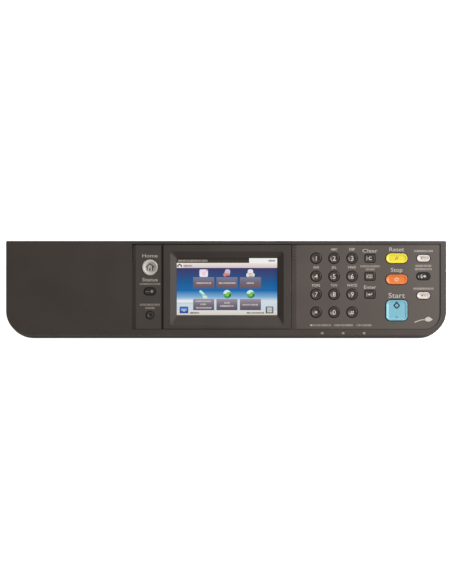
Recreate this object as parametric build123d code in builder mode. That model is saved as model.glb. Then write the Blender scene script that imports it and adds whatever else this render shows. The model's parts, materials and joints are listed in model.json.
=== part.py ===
"""Operation panel of a photocopier, lying on its back with its keys facing up.

X runs along the panel to the right, Y from the front edge to the machine side, and Z up out of the
face. The origin is the centre of the flat underside. A shallow tray and a top cover make the
housing. A window in the cover holds three pieces from left to right: a plate with three home keys,
the bezel of a 4.3 inch touch screen, and the plate of the main keypad. Every key is a cap of its
own that slides down in its plate onto a rubber dome over a key board.
"""

import os

from build123d import *

os.makedirs("parts", exist_ok=True)

# Housing
panel_width = 416.0
panel_depth = 92.1
face_height = 26.0
parting_height = 15.0
wall = 2.2
floor_thickness = 2.0
tray_corner = 25.5
back_corner = 1.2
front_lip = 2.9
lip_height = 4.0
edge_round = 0.5
tongue_thickness = 1.0
tongue_height = 1.2
slip = 0.15
tab_width = 10.0
tab_thickness = 1.2
tab_catch = 0.7
tab_foot = 7.5

# Window in the cover and the three pieces in it
right_strip = 5.4
back_strip = 2.9
front_band = 5.6
window_corner = 15.0
seam = 0.5
reveal = 0.4
back_reveal = 0.9
home_plate_width = 29.0
bezel_margin = 7.7
keypad_width = 140.8
plate_drop = 1.1
plate_thickness = 2.3
bezel_rise = 0.3
flange_side = 3.0
flange_front = 1.2
flange_back = 0.6
home_flank = 3.3
keypad_flank = 4.5
flank_drop = 1.0
rib_pitch = 2.8
rib_width = 1.1
rib_count = 5

# Keys
pitch = 17.0
key_gap = 0.7
key_rise = 0.6
key_round = 0.3
key_roof = 1.4
key_wall = 1.1
key_flange = 1.2
key_flange_thickness = 1.0
key_play = 0.1
dish_depth = 0.8
dish_slope = 0.22
dish_rim = 1.2
basin_depth = 0.5
basin_rim = 0.9
basin_slope = 1.6
travel = 0.8
stem_radius = 1.5
digit_size = 9.6
function_width = 9.2
function_depth = 7.1
command_width = 20.2
command_depth = 9.2
start_depth = 19.2
start_corner = 4.0
mode_width = 12.4
mode_depth = 6.4
home_size = 14.5
status_width = 10.6
status_depth = 6.3
menu_size = 6.8

# Key places, from the left and the back of their plates
first_column = 23.1
first_row = 13.5
command_column = 99.3
mode_column = 124.5
stop_row = 33.5
start_row = 62.75
quiet_row = 48.7
home_column = 12.1
home_row = 22.1
status_row = 44.8
menu_row = 67.2
start_lens_radius = 1.0
start_lens_offset = 6.4

# Domes and boards
board_thickness = 1.6
dome_height = 3.2
dome_radius = 3.4
dome_top_radius = 2.2
dome_wall = 0.5
dome_roof = 0.8
mat_thickness = 0.6
mat_margin = 7.0
boss_radius = 2.5
board_gap = 4.5
main_board_height = 4.5
main_board_width = 112.0
led_height = 0.8

# Screen
screen_width = 95.2
screen_depth = 54.3
screen_back = 13.2
slope_side = 6.0
slope_back = 6.1
slope_front = 9.75
slope_depth = 2.9
gasket_thickness = 0.5
touch_thickness = 1.2
cell_thickness = 1.4
backlight_thickness = 2.5
module_width = 105.4
module_depth = 67.2
module_wall = 0.4
module_lip = 0.3
bracket_thickness = 0.8
bracket_ear = 9.0

# Status lights
light_first = 28.9
light_pitch = 19.8
light_count = 3
light_width = 2.6
light_depth = 2.0
light_inset = 2.0
light_gap = 0.15

# Screws, sockets and mounting holes
screw_radius = 1.25
screw_clearance = 0.25
screw_head_radius = 2.6
screw_head_height = 1.8
small_screw_radius = 0.85
small_head_radius = 2.0
small_head_height = 1.3
cover_boss_radius = 3.5
cover_boss_foot = 12.0
sleeve_radius = 4.5
head_recess = 6.0
mount_spacing_x = 360.0
mount_spacing_y = 60.0
mount_hole_radius = 1.5
mount_hole_depth = 8.0
mount_boss_radius = 4.0
socket_width = 26.0
socket_depth = 9.5
socket_height = 7.0
socket_x = 30.0
socket_wall = 1.0
socket_sink = 0.75
contact_count = 10
contact_pitch = 2.0
contact_thickness = 0.4
cable_width = 14.0
cable_thickness = 0.4
ribbon_socket_depth = 4.0
ribbon_socket_height = 2.0

# Places that follow from the sizes above
bezel_width = module_width + 2 * bezel_margin
panel_left = -panel_width / 2
panel_right = panel_width / 2
panel_back = panel_depth / 2
panel_front = -panel_depth / 2
cover_front = panel_front + front_lip
cover_corner = tray_corner - front_lip
window_right = panel_right - right_strip
window_left = window_right - keypad_width - bezel_width - home_plate_width - 2 * seam
window_back = panel_back - back_strip
window_front = cover_front + front_band
home_right = window_left + home_plate_width
bezel_left = home_right + seam
bezel_right = bezel_left + bezel_width
keypad_left = bezel_right + seam
cover_under = face_height - wall
plate_top = face_height - plate_drop
plate_under = plate_top - plate_thickness
bezel_top = face_height + bezel_rise
flange_top = plate_under - key_play
flange_bottom = flange_top - key_flange_thickness
stem_foot = flange_bottom - travel - 0.9
board_top = stem_foot - dome_height
board_under = board_top - board_thickness
boss_length = plate_under - board_top
screen_x = (bezel_left + bezel_right) / 2 - 0.2
screen_y = window_back - screen_back - screen_depth / 2
touch_top = plate_under - gasket_thickness
module_top = touch_top - touch_thickness
cell_top = module_top - module_lip
backlight_top = cell_top - cell_thickness
bracket_top = backlight_top - backlight_thickness
light_y = cover_front + light_inset
lip_base = parting_height - lip_height
tongue_inset = wall + slip + tongue_thickness
tab_inset = tongue_inset + slip + tab_thickness
key_board_front = cover_front + tab_inset + 0.7
key_board_back = panel_back - tab_inset - 0.7
main_board_front = cover_front + tongue_inset + 1.0
main_board_back = panel_back - tongue_inset - 0.6
main_board_top = main_board_height + board_thickness
low_cable = main_board_top + 0.8
high_cable = board_under - 1.2
home_drop = home_right + 1.2
keypad_drop = keypad_left - 1.9
screen_drop = screen_y - module_depth / 2 - 2.8

# Keys as name: (x, y, shape, width, depth, rise above the plate)
keys = {}
digit_names = ["1", "2", "3", "4", "5", "6", "7", "8", "9", "star", "0", "hash"]
for index, digit in enumerate(digit_names):
    row, column = divmod(index, 3)
    place_x = keypad_left + first_column + column * pitch
    place_y = window_back - first_row - row * pitch
    keys["key_" + digit] = (place_x, place_y, "round", digit_size, digit_size, key_rise)
for row, function in enumerate(["clear", "search", "enter"]):
    place_x = keypad_left + first_column + 3 * pitch
    place_y = window_back - first_row - row * pitch
    keys["key_" + function] = (place_x, place_y, "block", function_width, function_depth, key_rise)
command_x = keypad_left + command_column
mode_x = keypad_left + mode_column
first_y = window_back - first_row
start_y = window_back - start_row
keys["key_reset"] = (command_x, first_y, "slot", command_width, command_depth, key_rise)
keys["key_stop"] = (command_x, window_back - stop_row, "slot", command_width, command_depth, key_rise)
keys["key_start"] = (command_x, start_y, "square", command_width, start_depth, key_rise + 0.2)
keys["key_energy_saver"] = (mode_x, first_y, "slot", mode_width, mode_depth, key_rise)
keys["key_log_out"] = (mode_x, first_y - pitch, "slot", mode_width, mode_depth, key_rise)
keys["key_quiet_mode"] = (mode_x, window_back - quiet_row, "slot", mode_width, mode_depth, key_rise)
home_x = home_right - home_column
keys["key_home"] = (home_x, window_back - home_row, "round", home_size, home_size, key_rise)
keys["key_status"] = (home_x, window_back - status_row, "slot", status_width, status_depth, key_rise)
keys["key_menu"] = (home_x, window_back - menu_row, "round", menu_size, menu_size, key_rise - 0.1)
home_keys = ["key_home", "key_status", "key_menu"]
keypad_keys = [name for name in keys if name not in home_keys]

# Bosses and posts, as (x, y)
middle_y = (window_back + window_front) / 2
home_bosses = [(window_left + 4.5, window_back - 7.0), (window_left + 4.5, window_front + 7.0)]
function_edge = keypad_left + first_column + 3 * pitch + function_width / 2 + key_flange
keypad_bosses = [
    (keypad_left + 9.0, window_back - 8.0),
    (keypad_left + 9.0, window_front + 8.0),
    (function_edge + 4.3, first_y - pitch / 2),
    (function_edge + 4.3, window_front + 8.0),
    (window_right - 4.2, window_back - 8.0),
    (window_right - 4.2, middle_y - 14.0),
]
bezel_bosses = [
    (screen_x + side * (module_width / 2 + 3.6), screen_y + end * 20.0) for side in (-1, 1) for end in (-1, 1)
]
main_board_screws = [
    (screen_x + side * (main_board_width / 2 - 5.0), y)
    for side in (-1, 1)
    for y in (main_board_front + 9.0, main_board_back - 9.0)
]
cover_bosses = [
    (panel_left + 10.0, panel_back - 9.0),
    (panel_left + 12.0, panel_front + 30.0),
    (window_left - 11.0, panel_back - 9.0),
    (window_left - 11.0, panel_front + 14.0),
]
board_posts = [
    (keypad_left + 16.0, window_back - 8.0),
    (keypad_left + 16.0, window_front + 8.0),
    (keypad_left + 66.0, window_back - 8.0),
    (keypad_left + 66.0, window_front + 8.0),
    (window_right - 16.0, middle_y + 8.0),
    (home_x, window_back - 7.0),
    (home_x, window_front + 7.0),
]
mount_places = [
    (side * mount_spacing_x / 2, end * mount_spacing_y / 2) for side in (-1, 1) for end in (-1, 1)
]
light_places = [keypad_left + light_first + index * light_pitch for index in range(light_count)]
back_tabs = [panel_left + 60.0, window_left + 15.0, keypad_left + 40.0, panel_right - 40.0]
front_tabs = [panel_left + 60.0, window_left + 15.0, keypad_left - 12.0, panel_right - 50.0]
side_tabs = [panel_back - 22.0, panel_back - 52.0]


def housing_outline(front, corner, inset=0.0):
    """Adds the housing's outline to the sketch: square at the back, round at the front corners."""
    back = panel_back - inset
    low = front + inset
    with Locations((0, (back + low) / 2)):
        Rectangle(panel_width - 2 * inset, back - low)
    fillet(vertices().group_by(Axis.Y)[0], corner - inset)
    if inset < back_corner:
        fillet(vertices().group_by(Axis.Y)[-1], back_corner - inset)


def bounded_rectangle(left, right, front, back):
    """Adds a rectangle by its four sides to the sketch."""
    with Locations(((left + right) / 2, (front + back) / 2)):
        Rectangle(right - left, back - front)


def right_front_corner(radius):
    """Rounds the corner of the sketch that is furthest right and to the front."""
    fillet(vertices().group_by(Axis.Y)[0].sort_by(Axis.X)[-1], radius)


def key_outline(shape, width, depth, grow=0.0):
    """Adds a key's outline, grown on every side, to the sketch."""
    if shape == "round":
        Circle(width / 2 + grow)
    elif shape == "slot":
        SlotOverall(width + 2 * grow, depth + 2 * grow)
    elif shape == "square":
        RectangleRounded(width + 2 * grow, depth + 2 * grow, start_corner + grow)
    else:
        RectangleRounded(width + 2 * grow, depth + 2 * grow, max(key_wall + grow, 0.3))


def key_holes(names):
    """Cuts the holes of the named keys through the plate being built."""
    for name in names:
        x, y, shape, width, depth, _ = keys[name]
        with BuildSketch(Plane.XY.offset(plate_under)) as profile:
            with Locations((x, y)):
                key_outline(shape, width, depth, key_gap)
        extrude(profile.sketch, amount=plate_thickness + bezel_rise, mode=Mode.SUBTRACT)


def plate_flank(left, flank):
    """Slopes the left edge of the plate being built down to the seam, and lays grip ribs on it."""
    with BuildSketch(Plane.XZ.offset(-window_back)) as profile:
        with BuildLine():
            Polyline(
                (left, plate_top + 1),
                (left + flank, plate_top + 1),
                (left + flank, plate_top),
                (left, plate_top - flank_drop),
                close=True,
            )
        make_face()
    extrude(profile.sketch, amount=window_back - window_front, mode=Mode.SUBTRACT)
    for index in range(rib_count):
        y = window_back - 2.0 - index * rib_pitch
        with BuildSketch(Plane.XZ.offset(-y)) as profile:
            with BuildLine():
                Polyline(
                    (left + 0.4, plate_top - flank_drop - 0.2),
                    (left + flank, plate_top - 0.2),
                    (left + flank, plate_top),
                    (left + 0.4, plate_top - 0.3),
                    close=True,
                )
            make_face()
        extrude(profile.sketch, amount=rib_width)


def plate_bosses(places, foot):
    """Hangs screw bosses with pilot holes from the underside of the plate being built."""
    with BuildSketch(Plane.XY.offset(foot)) as profile:
        with Locations(places):
            Circle(boss_radius)
            Circle(small_screw_radius + screw_clearance, mode=Mode.SUBTRACT)
    extrude(profile.sketch, amount=plate_under - foot)


def small_screws(places, seat, length):
    """Adds small screws whose heads lie under the height seat, pointing up."""
    with BuildSketch(Plane.XY.offset(seat - small_head_height)) as profile:
        with Locations(places):
            Circle(small_head_radius)
    extrude(profile.sketch, amount=small_head_height)
    with BuildSketch(Plane.XY.offset(seat)) as profile:
        with Locations(places):
            Circle(small_screw_radius)
    extrude(profile.sketch, amount=length)


def snap_tab(x, y, out_x, out_y):
    """Adds a tab that reaches over the tray's tongue and hooks under it, facing the given way."""
    side = Plane(origin=(x, y, 0), x_dir=(out_x, out_y, 0), z_dir=(out_y, -out_x, 0))
    over = parting_height + tongue_height + 0.6
    catch = lip_base - 1 - slip
    with BuildSketch(side) as profile:
        with BuildLine():
            Polyline(
                (-wall / 2, over + 2.5),
                (-tab_inset, over + 2.5),
                (-tab_inset, tab_foot),
                (tab_thickness - tab_inset, tab_foot),
                (tab_thickness - tab_inset + tab_catch, catch - 0.8),
                (tab_thickness - tab_inset + tab_catch, catch),
                (tab_thickness - tab_inset, catch),
                (tab_thickness - tab_inset, over),
                (-wall / 2, over),
                close=True,
            )
        make_face()
    extrude(profile.sketch, amount=tab_width / 2, both=True)


def ribbon(legs, plane):
    """Makes a flat cable's run from its legs, each given by its low and high corner."""
    with BuildSketch(plane) as profile:
        for (low_a, low_b), (high_a, high_b) in legs:
            bounded_rectangle(low_a, high_a + cable_thickness, low_b, high_b + cable_thickness)
    extrude(profile.sketch, amount=cable_width / 2, both=True)


# Tray: floor, walls, sloping front lip, tongue, posts, screw sleeves and mounting bosses
with BuildPart() as lower_cover:
    with BuildSketch():
        housing_outline(panel_front, tray_corner)
    extrude(amount=lip_base)
    fillet(faces().sort_by(Axis.Z)[0].edges(), edge_round)
    with BuildSketch(Plane.XY.offset(lip_base)):
        housing_outline(panel_front, tray_corner)
    with BuildSketch(Plane.XY.offset(parting_height)):
        housing_outline(cover_front, cover_corner)
    loft()
    with BuildSketch(Plane.XY.offset(floor_thickness)):
        housing_outline(panel_front, tray_corner, wall)
    extrude(amount=lip_base - 1 - floor_thickness, mode=Mode.SUBTRACT)
    with BuildSketch(Plane.XY.offset(floor_thickness)):
        housing_outline(cover_front, cover_corner, tongue_inset)
    extrude(amount=parting_height, mode=Mode.SUBTRACT)
    # Tongue that keys into the cover
    with BuildSketch(Plane.XY.offset(lip_base)):
        housing_outline(cover_front, cover_corner, wall + slip)
    extrude(amount=lip_height + tongue_height)
    with BuildSketch(Plane.XY.offset(lip_base)):
        housing_outline(cover_front, cover_corner, tongue_inset)
    extrude(amount=lip_height + tongue_height, mode=Mode.SUBTRACT)
    # Posts under the key boards and the main board
    with BuildSketch(Plane.XY.offset(floor_thickness)):
        with Locations(board_posts):
            Circle(boss_radius)
    extrude(amount=board_under - floor_thickness)
    with BuildSketch(Plane.XY.offset(floor_thickness)):
        with Locations(main_board_screws):
            Circle(boss_radius)
    extrude(amount=main_board_height - floor_thickness)
    with BuildSketch(Plane.XY.offset(main_board_height)):
        with Locations(main_board_screws):
            Circle(small_screw_radius + screw_clearance)
    extrude(amount=floor_thickness / 2 - main_board_height, mode=Mode.SUBTRACT)
    # Sleeves for the screws that hold the cover, open to the underside
    with BuildSketch(Plane.XY.offset(floor_thickness)):
        with Locations(cover_bosses):
            Circle(sleeve_radius)
    extrude(amount=cover_boss_foot - floor_thickness)
    with BuildSketch():
        with Locations(cover_bosses):
            Circle(screw_head_radius + 0.5)
    extrude(amount=head_recess, mode=Mode.SUBTRACT)
    with BuildSketch(Plane.XY.offset(head_recess)):
        with Locations(cover_bosses):
            Circle(screw_radius + screw_clearance)
    extrude(amount=cover_boss_foot - head_recess, mode=Mode.SUBTRACT)
    # Bosses with blind holes that take the machine's mounting screws
    with BuildSketch(Plane.XY.offset(floor_thickness)):
        with Locations(mount_places):
            Circle(mount_boss_radius)
    extrude(amount=mount_hole_depth + 1.5 - floor_thickness)
    with BuildSketch():
        with Locations(mount_places):
            Circle(mount_hole_radius)
    extrude(amount=mount_hole_depth, mode=Mode.SUBTRACT)
    # Opening for the harness socket
    with Locations((socket_x, panel_back, main_board_top + socket_height / 2)):
        Box(socket_width + 2 * slip, 2 * tongue_inset + 2, socket_height + 2 * slip, mode=Mode.SUBTRACT)
lower_cover.part.label = "lower_cover"
export_step(lower_cover.part, "parts/lower_cover.step")

# Top cover: face, walls, window, bosses, ribs, snap tabs and light windows
with BuildPart() as upper_cover:
    with BuildSketch(Plane.XY.offset(parting_height)):
        housing_outline(cover_front, cover_corner)
    extrude(amount=face_height - parting_height)
    fillet(faces().sort_by(Axis.Z)[-1].edges(), edge_round)
    with BuildSketch(Plane.XY.offset(parting_height)):
        housing_outline(cover_front, cover_corner, wall)
    extrude(amount=cover_under - parting_height, mode=Mode.SUBTRACT)
    with BuildSketch(Plane.XY.offset(cover_under)):
        bounded_rectangle(window_left, window_right, window_front, window_back)
        right_front_corner(window_corner)
    extrude(amount=wall, mode=Mode.SUBTRACT)
    for x in back_tabs:
        snap_tab(x, panel_back, 0, 1)
    for x in front_tabs:
        snap_tab(x, cover_front, 0, -1)
    for y in side_tabs:
        snap_tab(panel_right, y, 1, 0)
    # Bosses for the cover screws and stiffening ribs beside the window
    with BuildSketch(Plane.XY.offset(cover_boss_foot)):
        with Locations(cover_bosses):
            Circle(cover_boss_radius)
    extrude(amount=cover_under - cover_boss_foot)
    with BuildSketch(Plane.XY.offset(cover_under - 4)):
        bay_left = panel_left + wall / 2
        bay_right = window_left - flange_side - 2.0
        for y in (panel_back - 22.0, 0, cover_front + 24.0):
            bounded_rectangle(bay_left, bay_right, y - 0.6, y + 0.6)
        for x in (panel_left + 38.0, panel_left + 76.0):
            bounded_rectangle(x - 0.6, x + 0.6, cover_front + wall / 2, panel_back - wall / 2)
    extrude(amount=4)
    with BuildSketch(Plane.XY.offset(cover_boss_foot)):
        with Locations(cover_bosses):
            Circle(screw_radius + screw_clearance)
    extrude(amount=cover_under - cover_boss_foot - 2, mode=Mode.SUBTRACT)
    # Channels and windows for the status light posts
    with BuildSketch(Plane.XY.offset(parting_height + tongue_height + 1.0)):
        with Locations([(x, light_y) for x in light_places]):
            Rectangle(light_width + 2 * light_gap, light_depth + 2 * light_gap)
    extrude(amount=face_height - parting_height, mode=Mode.SUBTRACT)
upper_cover.part.label = "upper_cover"
export_step(upper_cover.part, "parts/upper_cover.step")

# Home key plate at the left of the window
with BuildPart() as home_key_plate:
    with BuildSketch(Plane.XY.offset(plate_under)):
        bounded_rectangle(
            window_left - flange_side, home_right, window_front - flange_front, window_back + flange_back
        )
    extrude(amount=cover_under - plate_under)
    with BuildSketch(Plane.XY.offset(plate_under)):
        bounded_rectangle(window_left + reveal, home_right, window_front + reveal, window_back - back_reveal)
    extrude(amount=plate_thickness)
    plate_flank(window_left + reveal, home_flank)
    key_holes(home_keys)
    plate_bosses(home_bosses, board_top)
home_key_plate.part.label = "home_key_plate"
export_step(home_key_plate.part, "parts/home_key_plate.step")

# Keypad plate at the right of the window
with BuildPart() as keypad_plate:
    with BuildSketch(Plane.XY.offset(plate_under)):
        bounded_rectangle(
            keypad_left, window_right + flange_side, window_front - flange_front, window_back + flange_back
        )
        right_front_corner(window_corner + flange_side)
    extrude(amount=cover_under - plate_under)
    with BuildSketch(Plane.XY.offset(plate_under)):
        bounded_rectangle(keypad_left, window_right - reveal, window_front + reveal, window_back - back_reveal)
        right_front_corner(window_corner - reveal)
    extrude(amount=plate_thickness)
    plate_flank(keypad_left, keypad_flank)
    key_holes(keypad_keys)
    plate_bosses(keypad_bosses, board_top)
keypad_plate.part.label = "keypad_plate"
export_step(keypad_plate.part, "parts/keypad_plate.step")

# Screen bezel with its sloping surround
with BuildPart() as lcd_bezel:
    with BuildSketch(Plane.XY.offset(plate_under)):
        bounded_rectangle(bezel_left, bezel_right, window_front - flange_front, window_back + flange_back)
    extrude(amount=cover_under - plate_under)
    with BuildSketch(Plane.XY.offset(plate_under)):
        bounded_rectangle(bezel_left, bezel_right, window_front + reveal, window_back - back_reveal)
    extrude(amount=bezel_top - plate_under)
    fillet(edges().group_by(Axis.Z)[-1], 0.3)
    with BuildSketch(Plane.XY.offset(bezel_top)):
        bounded_rectangle(
            screen_x - screen_width / 2 - slope_side,
            screen_x + screen_width / 2 + slope_side,
            screen_y - screen_depth / 2 - slope_front,
            screen_y + screen_depth / 2 + slope_back,
        )
        fillet(vertices(), 2.5)
    with BuildSketch(Plane.XY.offset(bezel_top - slope_depth)):
        with Locations((screen_x, screen_y)):
            Rectangle(screen_width, screen_depth)
        fillet(vertices(), 0.6)
    loft(mode=Mode.SUBTRACT)
    rim = edges().group_by(Axis.Z)[-1].filter_by(lambda e: abs(e.center().Y - screen_y) < screen_depth / 2 + 9)
    fillet(rim.filter_by(lambda e: abs(e.center().X - screen_x) < screen_width / 2 + slope_side + 0.1), 0.7)
    with BuildSketch(Plane.XY.offset(plate_under)):
        with Locations((screen_x, screen_y)):
            Rectangle(screen_width, screen_depth)
        fillet(vertices(), 0.6)
    extrude(amount=bezel_top - plate_under, mode=Mode.SUBTRACT)
    plate_bosses(bezel_bosses, bracket_top)
lcd_bezel.part.label = "lcd_bezel"
export_step(lcd_bezel.part, "parts/lcd_bezel.step")

# Screen module: gasket, touch panel, cell, backlight, frame and bracket
with BuildPart() as lcd_gasket:
    with BuildSketch(Plane.XY.offset(touch_top)):
        with Locations((screen_x, screen_y)):
            Rectangle(screen_width + 5.0, screen_depth + 5.0)
            Rectangle(screen_width + 1.5, screen_depth + 1.5, mode=Mode.SUBTRACT)
    extrude(amount=gasket_thickness)
lcd_gasket.part.label = "lcd_gasket"
export_step(lcd_gasket.part, "parts/lcd_gasket.step")

with BuildPart() as touch_screen:
    with BuildSketch(Plane.XY.offset(module_top)):
        with Locations((screen_x, screen_y)):
            Rectangle(module_width - 3.0, module_depth - 3.0)
    extrude(amount=touch_thickness)
touch_screen.part.label = "touch_screen"
export_step(touch_screen.part, "parts/touch_screen.step")

with BuildPart() as lcd_panel:
    with BuildSketch(Plane.XY.offset(backlight_top)):
        with Locations((screen_x, screen_y)):
            Rectangle(module_width - 2 * module_wall, module_depth - 2 * module_wall)
    extrude(amount=cell_top - backlight_top)
lcd_panel.part.label = "lcd_panel"
export_step(lcd_panel.part, "parts/lcd_panel.step")

with BuildPart() as lcd_backlight:
    with BuildSketch(Plane.XY.offset(bracket_top)):
        with Locations((screen_x, screen_y)):
            Rectangle(module_width - 2 * module_wall, module_depth - 2 * module_wall)
    extrude(amount=backlight_top - bracket_top)
lcd_backlight.part.label = "lcd_backlight"
export_step(lcd_backlight.part, "parts/lcd_backlight.step")

with BuildPart() as lcd_frame:
    with BuildSketch(Plane.XY.offset(bracket_top)):
        with Locations((screen_x, screen_y)):
            Rectangle(module_width, module_depth)
    extrude(amount=module_top - bracket_top)
    with BuildSketch(Plane.XY.offset(bracket_top)):
        with Locations((screen_x, screen_y)):
            Rectangle(module_width - 2 * module_wall, module_depth - 2 * module_wall)
    extrude(amount=cell_top - bracket_top, mode=Mode.SUBTRACT)
    with BuildSketch(Plane.XY.offset(cell_top)):
        with Locations((screen_x, screen_y)):
            Rectangle(screen_width + 2.0, screen_depth + 2.0)
    extrude(amount=module_lip, mode=Mode.SUBTRACT)
lcd_frame.part.label = "lcd_frame"
export_step(lcd_frame.part, "parts/lcd_frame.step")

with BuildPart() as lcd_bracket:
    with BuildSketch(Plane.XY.offset(bracket_top - bracket_thickness)):
        with Locations((screen_x, screen_y)):
            Rectangle(module_width, module_depth)
            Rectangle(module_width - 24.0, module_depth - 24.0, mode=Mode.SUBTRACT)
            Rectangle(12.0, module_depth - 4.0)
        for x, y in bezel_bosses:
            with Locations(((x + screen_x) / 2 + (x - screen_x) * 0.25, y)):
                Rectangle(abs(x - screen_x) / 2 + bracket_ear / 2, bracket_ear)
        with Locations(bezel_bosses):
            Circle(small_screw_radius + screw_clearance, mode=Mode.SUBTRACT)
    extrude(amount=bracket_thickness)
lcd_bracket.part.label = "lcd_bracket"
export_step(lcd_bracket.part, "parts/lcd_bracket.step")

# Boards
with BuildPart() as home_key_board:
    with BuildSketch(Plane.XY.offset(board_under)):
        bounded_rectangle(window_left + 1.5, home_right - 0.5, key_board_front, key_board_back)
        with Locations(home_bosses):
            Circle(small_screw_radius + screw_clearance, mode=Mode.SUBTRACT)
    extrude(amount=board_thickness)
home_key_board.part.label = "home_key_board"
export_step(home_key_board.part, "parts/home_key_board.step")

with BuildPart() as keypad_board:
    with BuildSketch(Plane.XY.offset(board_under)):
        bounded_rectangle(keypad_left + 0.5, window_right - 1.5, key_board_front, key_board_back)
        right_front_corner(window_corner)
        with Locations(keypad_bosses):
            Circle(small_screw_radius + screw_clearance, mode=Mode.SUBTRACT)
    extrude(amount=board_thickness)
keypad_board.part.label = "keypad_board"
export_step(keypad_board.part, "parts/keypad_board.step")

with BuildPart() as main_board:
    with BuildSketch(Plane.XY.offset(main_board_height)):
        middle = (main_board_front + main_board_back) / 2
        with Locations((screen_x, middle)):
            RectangleRounded(main_board_width, main_board_back - main_board_front, 2)
        with Locations(main_board_screws):
            Circle(small_screw_radius + screw_clearance, mode=Mode.SUBTRACT)
    extrude(amount=board_thickness)
main_board.part.label = "main_board"
export_step(main_board.part, "parts/main_board.step")

# Rubber dome mats, one sheet for each key board
lens_x = command_x
lens_y = start_y - start_lens_offset
for mat_name, names, bosses in (
    ("home_dome_mat", home_keys, home_bosses),
    ("keypad_dome_mat", keypad_keys, keypad_bosses),
):
    domes = [(keys[name][0], keys[name][1]) for name in names]
    mat_left = min(x for x, y in domes) - mat_margin
    mat_right = max(x for x, y in domes) + mat_margin
    mat_front = min(y for x, y in domes) - mat_margin
    mat_back = max(y for x, y in domes) + mat_margin
    with BuildPart() as dome_mat:
        with BuildSketch(Plane.XY.offset(board_top)):
            bounded_rectangle(mat_left, mat_right, mat_front, mat_back)
        extrude(amount=mat_thickness)
        for x, y in domes:
            with BuildSketch(Plane.XY.offset(board_top)):
                with Locations((x, y)):
                    Circle(dome_radius)
            with BuildSketch(Plane.XY.offset(stem_foot)):
                with Locations((x, y)):
                    Circle(dome_top_radius)
            loft()
        for x, y in domes:
            with BuildSketch(Plane.XY.offset(board_top)):
                with Locations((x, y)):
                    Circle(dome_radius - dome_wall)
            with BuildSketch(Plane.XY.offset(stem_foot - dome_roof)):
                with Locations((x, y)):
                    Circle(dome_top_radius - dome_wall)
            loft(mode=Mode.SUBTRACT)
        near = [
            (x, y)
            for x, y in bosses + [(lens_x, lens_y)]
            if mat_left - 4 < x < mat_right + 4 and mat_front - 4 < y < mat_back + 4
        ]
        if near:
            with BuildSketch(Plane.XY.offset(board_top)):
                with Locations(near):
                    Circle(boss_radius + 0.4)
            extrude(amount=mat_thickness, mode=Mode.SUBTRACT)
    dome_mat.part.label = mat_name
    export_step(dome_mat.part, "parts/" + mat_name + ".step")

# Keys: a hollow cap with a flange under the plate and a stem that stands on its dome
for name, (x, y, shape, width, depth, rise) in keys.items():
    cap_top = plate_top + rise
    with BuildPart() as key:
        with BuildSketch(Plane.XY.offset(flange_bottom)):
            with Locations((x, y)):
                key_outline(shape, width, depth)
        extrude(amount=cap_top - flange_bottom)
        fillet(edges().group_by(Axis.Z)[-1], key_round)
        if shape == "round":
            dish_radius = width / 2 - dish_rim
            depth_here = min(dish_depth, dish_slope * dish_radius)
            ball = (dish_radius**2 + depth_here**2) / (2 * depth_here)
            with Locations((x, y, cap_top - depth_here + ball)):
                Sphere(ball, mode=Mode.SUBTRACT)
        else:
            with BuildSketch(Plane.XY.offset(cap_top)):
                with Locations((x, y)):
                    key_outline(shape, width, depth, -basin_rim)
            with BuildSketch(Plane.XY.offset(cap_top - basin_depth)):
                with Locations((x, y)):
                    key_outline(shape, width, depth, -basin_rim - basin_slope)
            loft(mode=Mode.SUBTRACT)
        with BuildSketch(Plane.XY.offset(flange_bottom)):
            with Locations((x, y)):
                key_outline(shape, width, depth, key_flange)
        extrude(amount=key_flange_thickness)
        with BuildSketch(Plane.XY.offset(flange_bottom)):
            with Locations((x, y)):
                key_outline(shape, width, depth, -key_wall + 0.05)
        extrude(amount=cap_top - key_roof - flange_bottom, mode=Mode.SUBTRACT)
        with BuildSketch(Plane.XY.offset(stem_foot)):
            with Locations((x, y)):
                Circle(stem_radius)
        extrude(amount=cap_top - key_roof - stem_foot)
        if name == "key_start":
            with BuildSketch(Plane.XY.offset(flange_bottom)):
                with Locations((lens_x, lens_y)):
                    Circle(start_lens_radius + 0.1)
            extrude(amount=cap_top - flange_bottom, mode=Mode.SUBTRACT)
    key.part.label = name
    export_step(key.part, "parts/" + name + ".step")

with BuildPart() as start_key_lens:
    lens_foot = plate_top + keys["key_start"][5] - key_roof
    with BuildSketch(Plane.XY.offset(lens_foot)):
        with Locations((lens_x, lens_y)):
            Circle(start_lens_radius)
    extrude(amount=key_roof - basin_depth)
    with BuildSketch(Plane.XY.offset(lens_foot - 0.8)):
        with Locations((lens_x, lens_y)):
            Circle(start_lens_radius + 0.7)
    extrude(amount=0.8)
start_key_lens.part.label = "start_key_lens"
export_step(start_key_lens.part, "parts/start_key_lens.step")

# Lights: three behind the front band and one under the start key
with BuildPart() as status_light_guide:
    bar_front = light_y + light_depth / 2
    bar_back = key_board_front + 2.2
    guide_base = board_top + led_height + 0.2
    with BuildSketch(Plane.XY.offset(parting_height + tongue_height + 1.5)):
        bounded_rectangle(light_places[0] - 6.0, light_places[-1] + 6.0, bar_front, bar_back)
        with Locations([(x, light_y) for x in light_places]):
            Rectangle(light_width, light_depth)
    extrude(amount=2.0)
    with BuildSketch(Plane.XY.offset(parting_height + tongue_height + 3.5)):
        with Locations([(x, light_y) for x in light_places]):
            Rectangle(light_width, light_depth)
    extrude(amount=face_height - parting_height - tongue_height - 3.6)
    with BuildSketch(Plane.XY.offset(board_top)):
        with Locations([(light_places[0] - 5.0, bar_back - 1.0), (light_places[-1] + 5.0, bar_back - 1.0)]):
            Rectangle(2.0, 2.0)
    extrude(amount=parting_height + tongue_height + 1.5 - board_top)
status_light_guide.part.label = "status_light_guide"
export_step(status_light_guide.part, "parts/status_light_guide.step")

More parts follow.
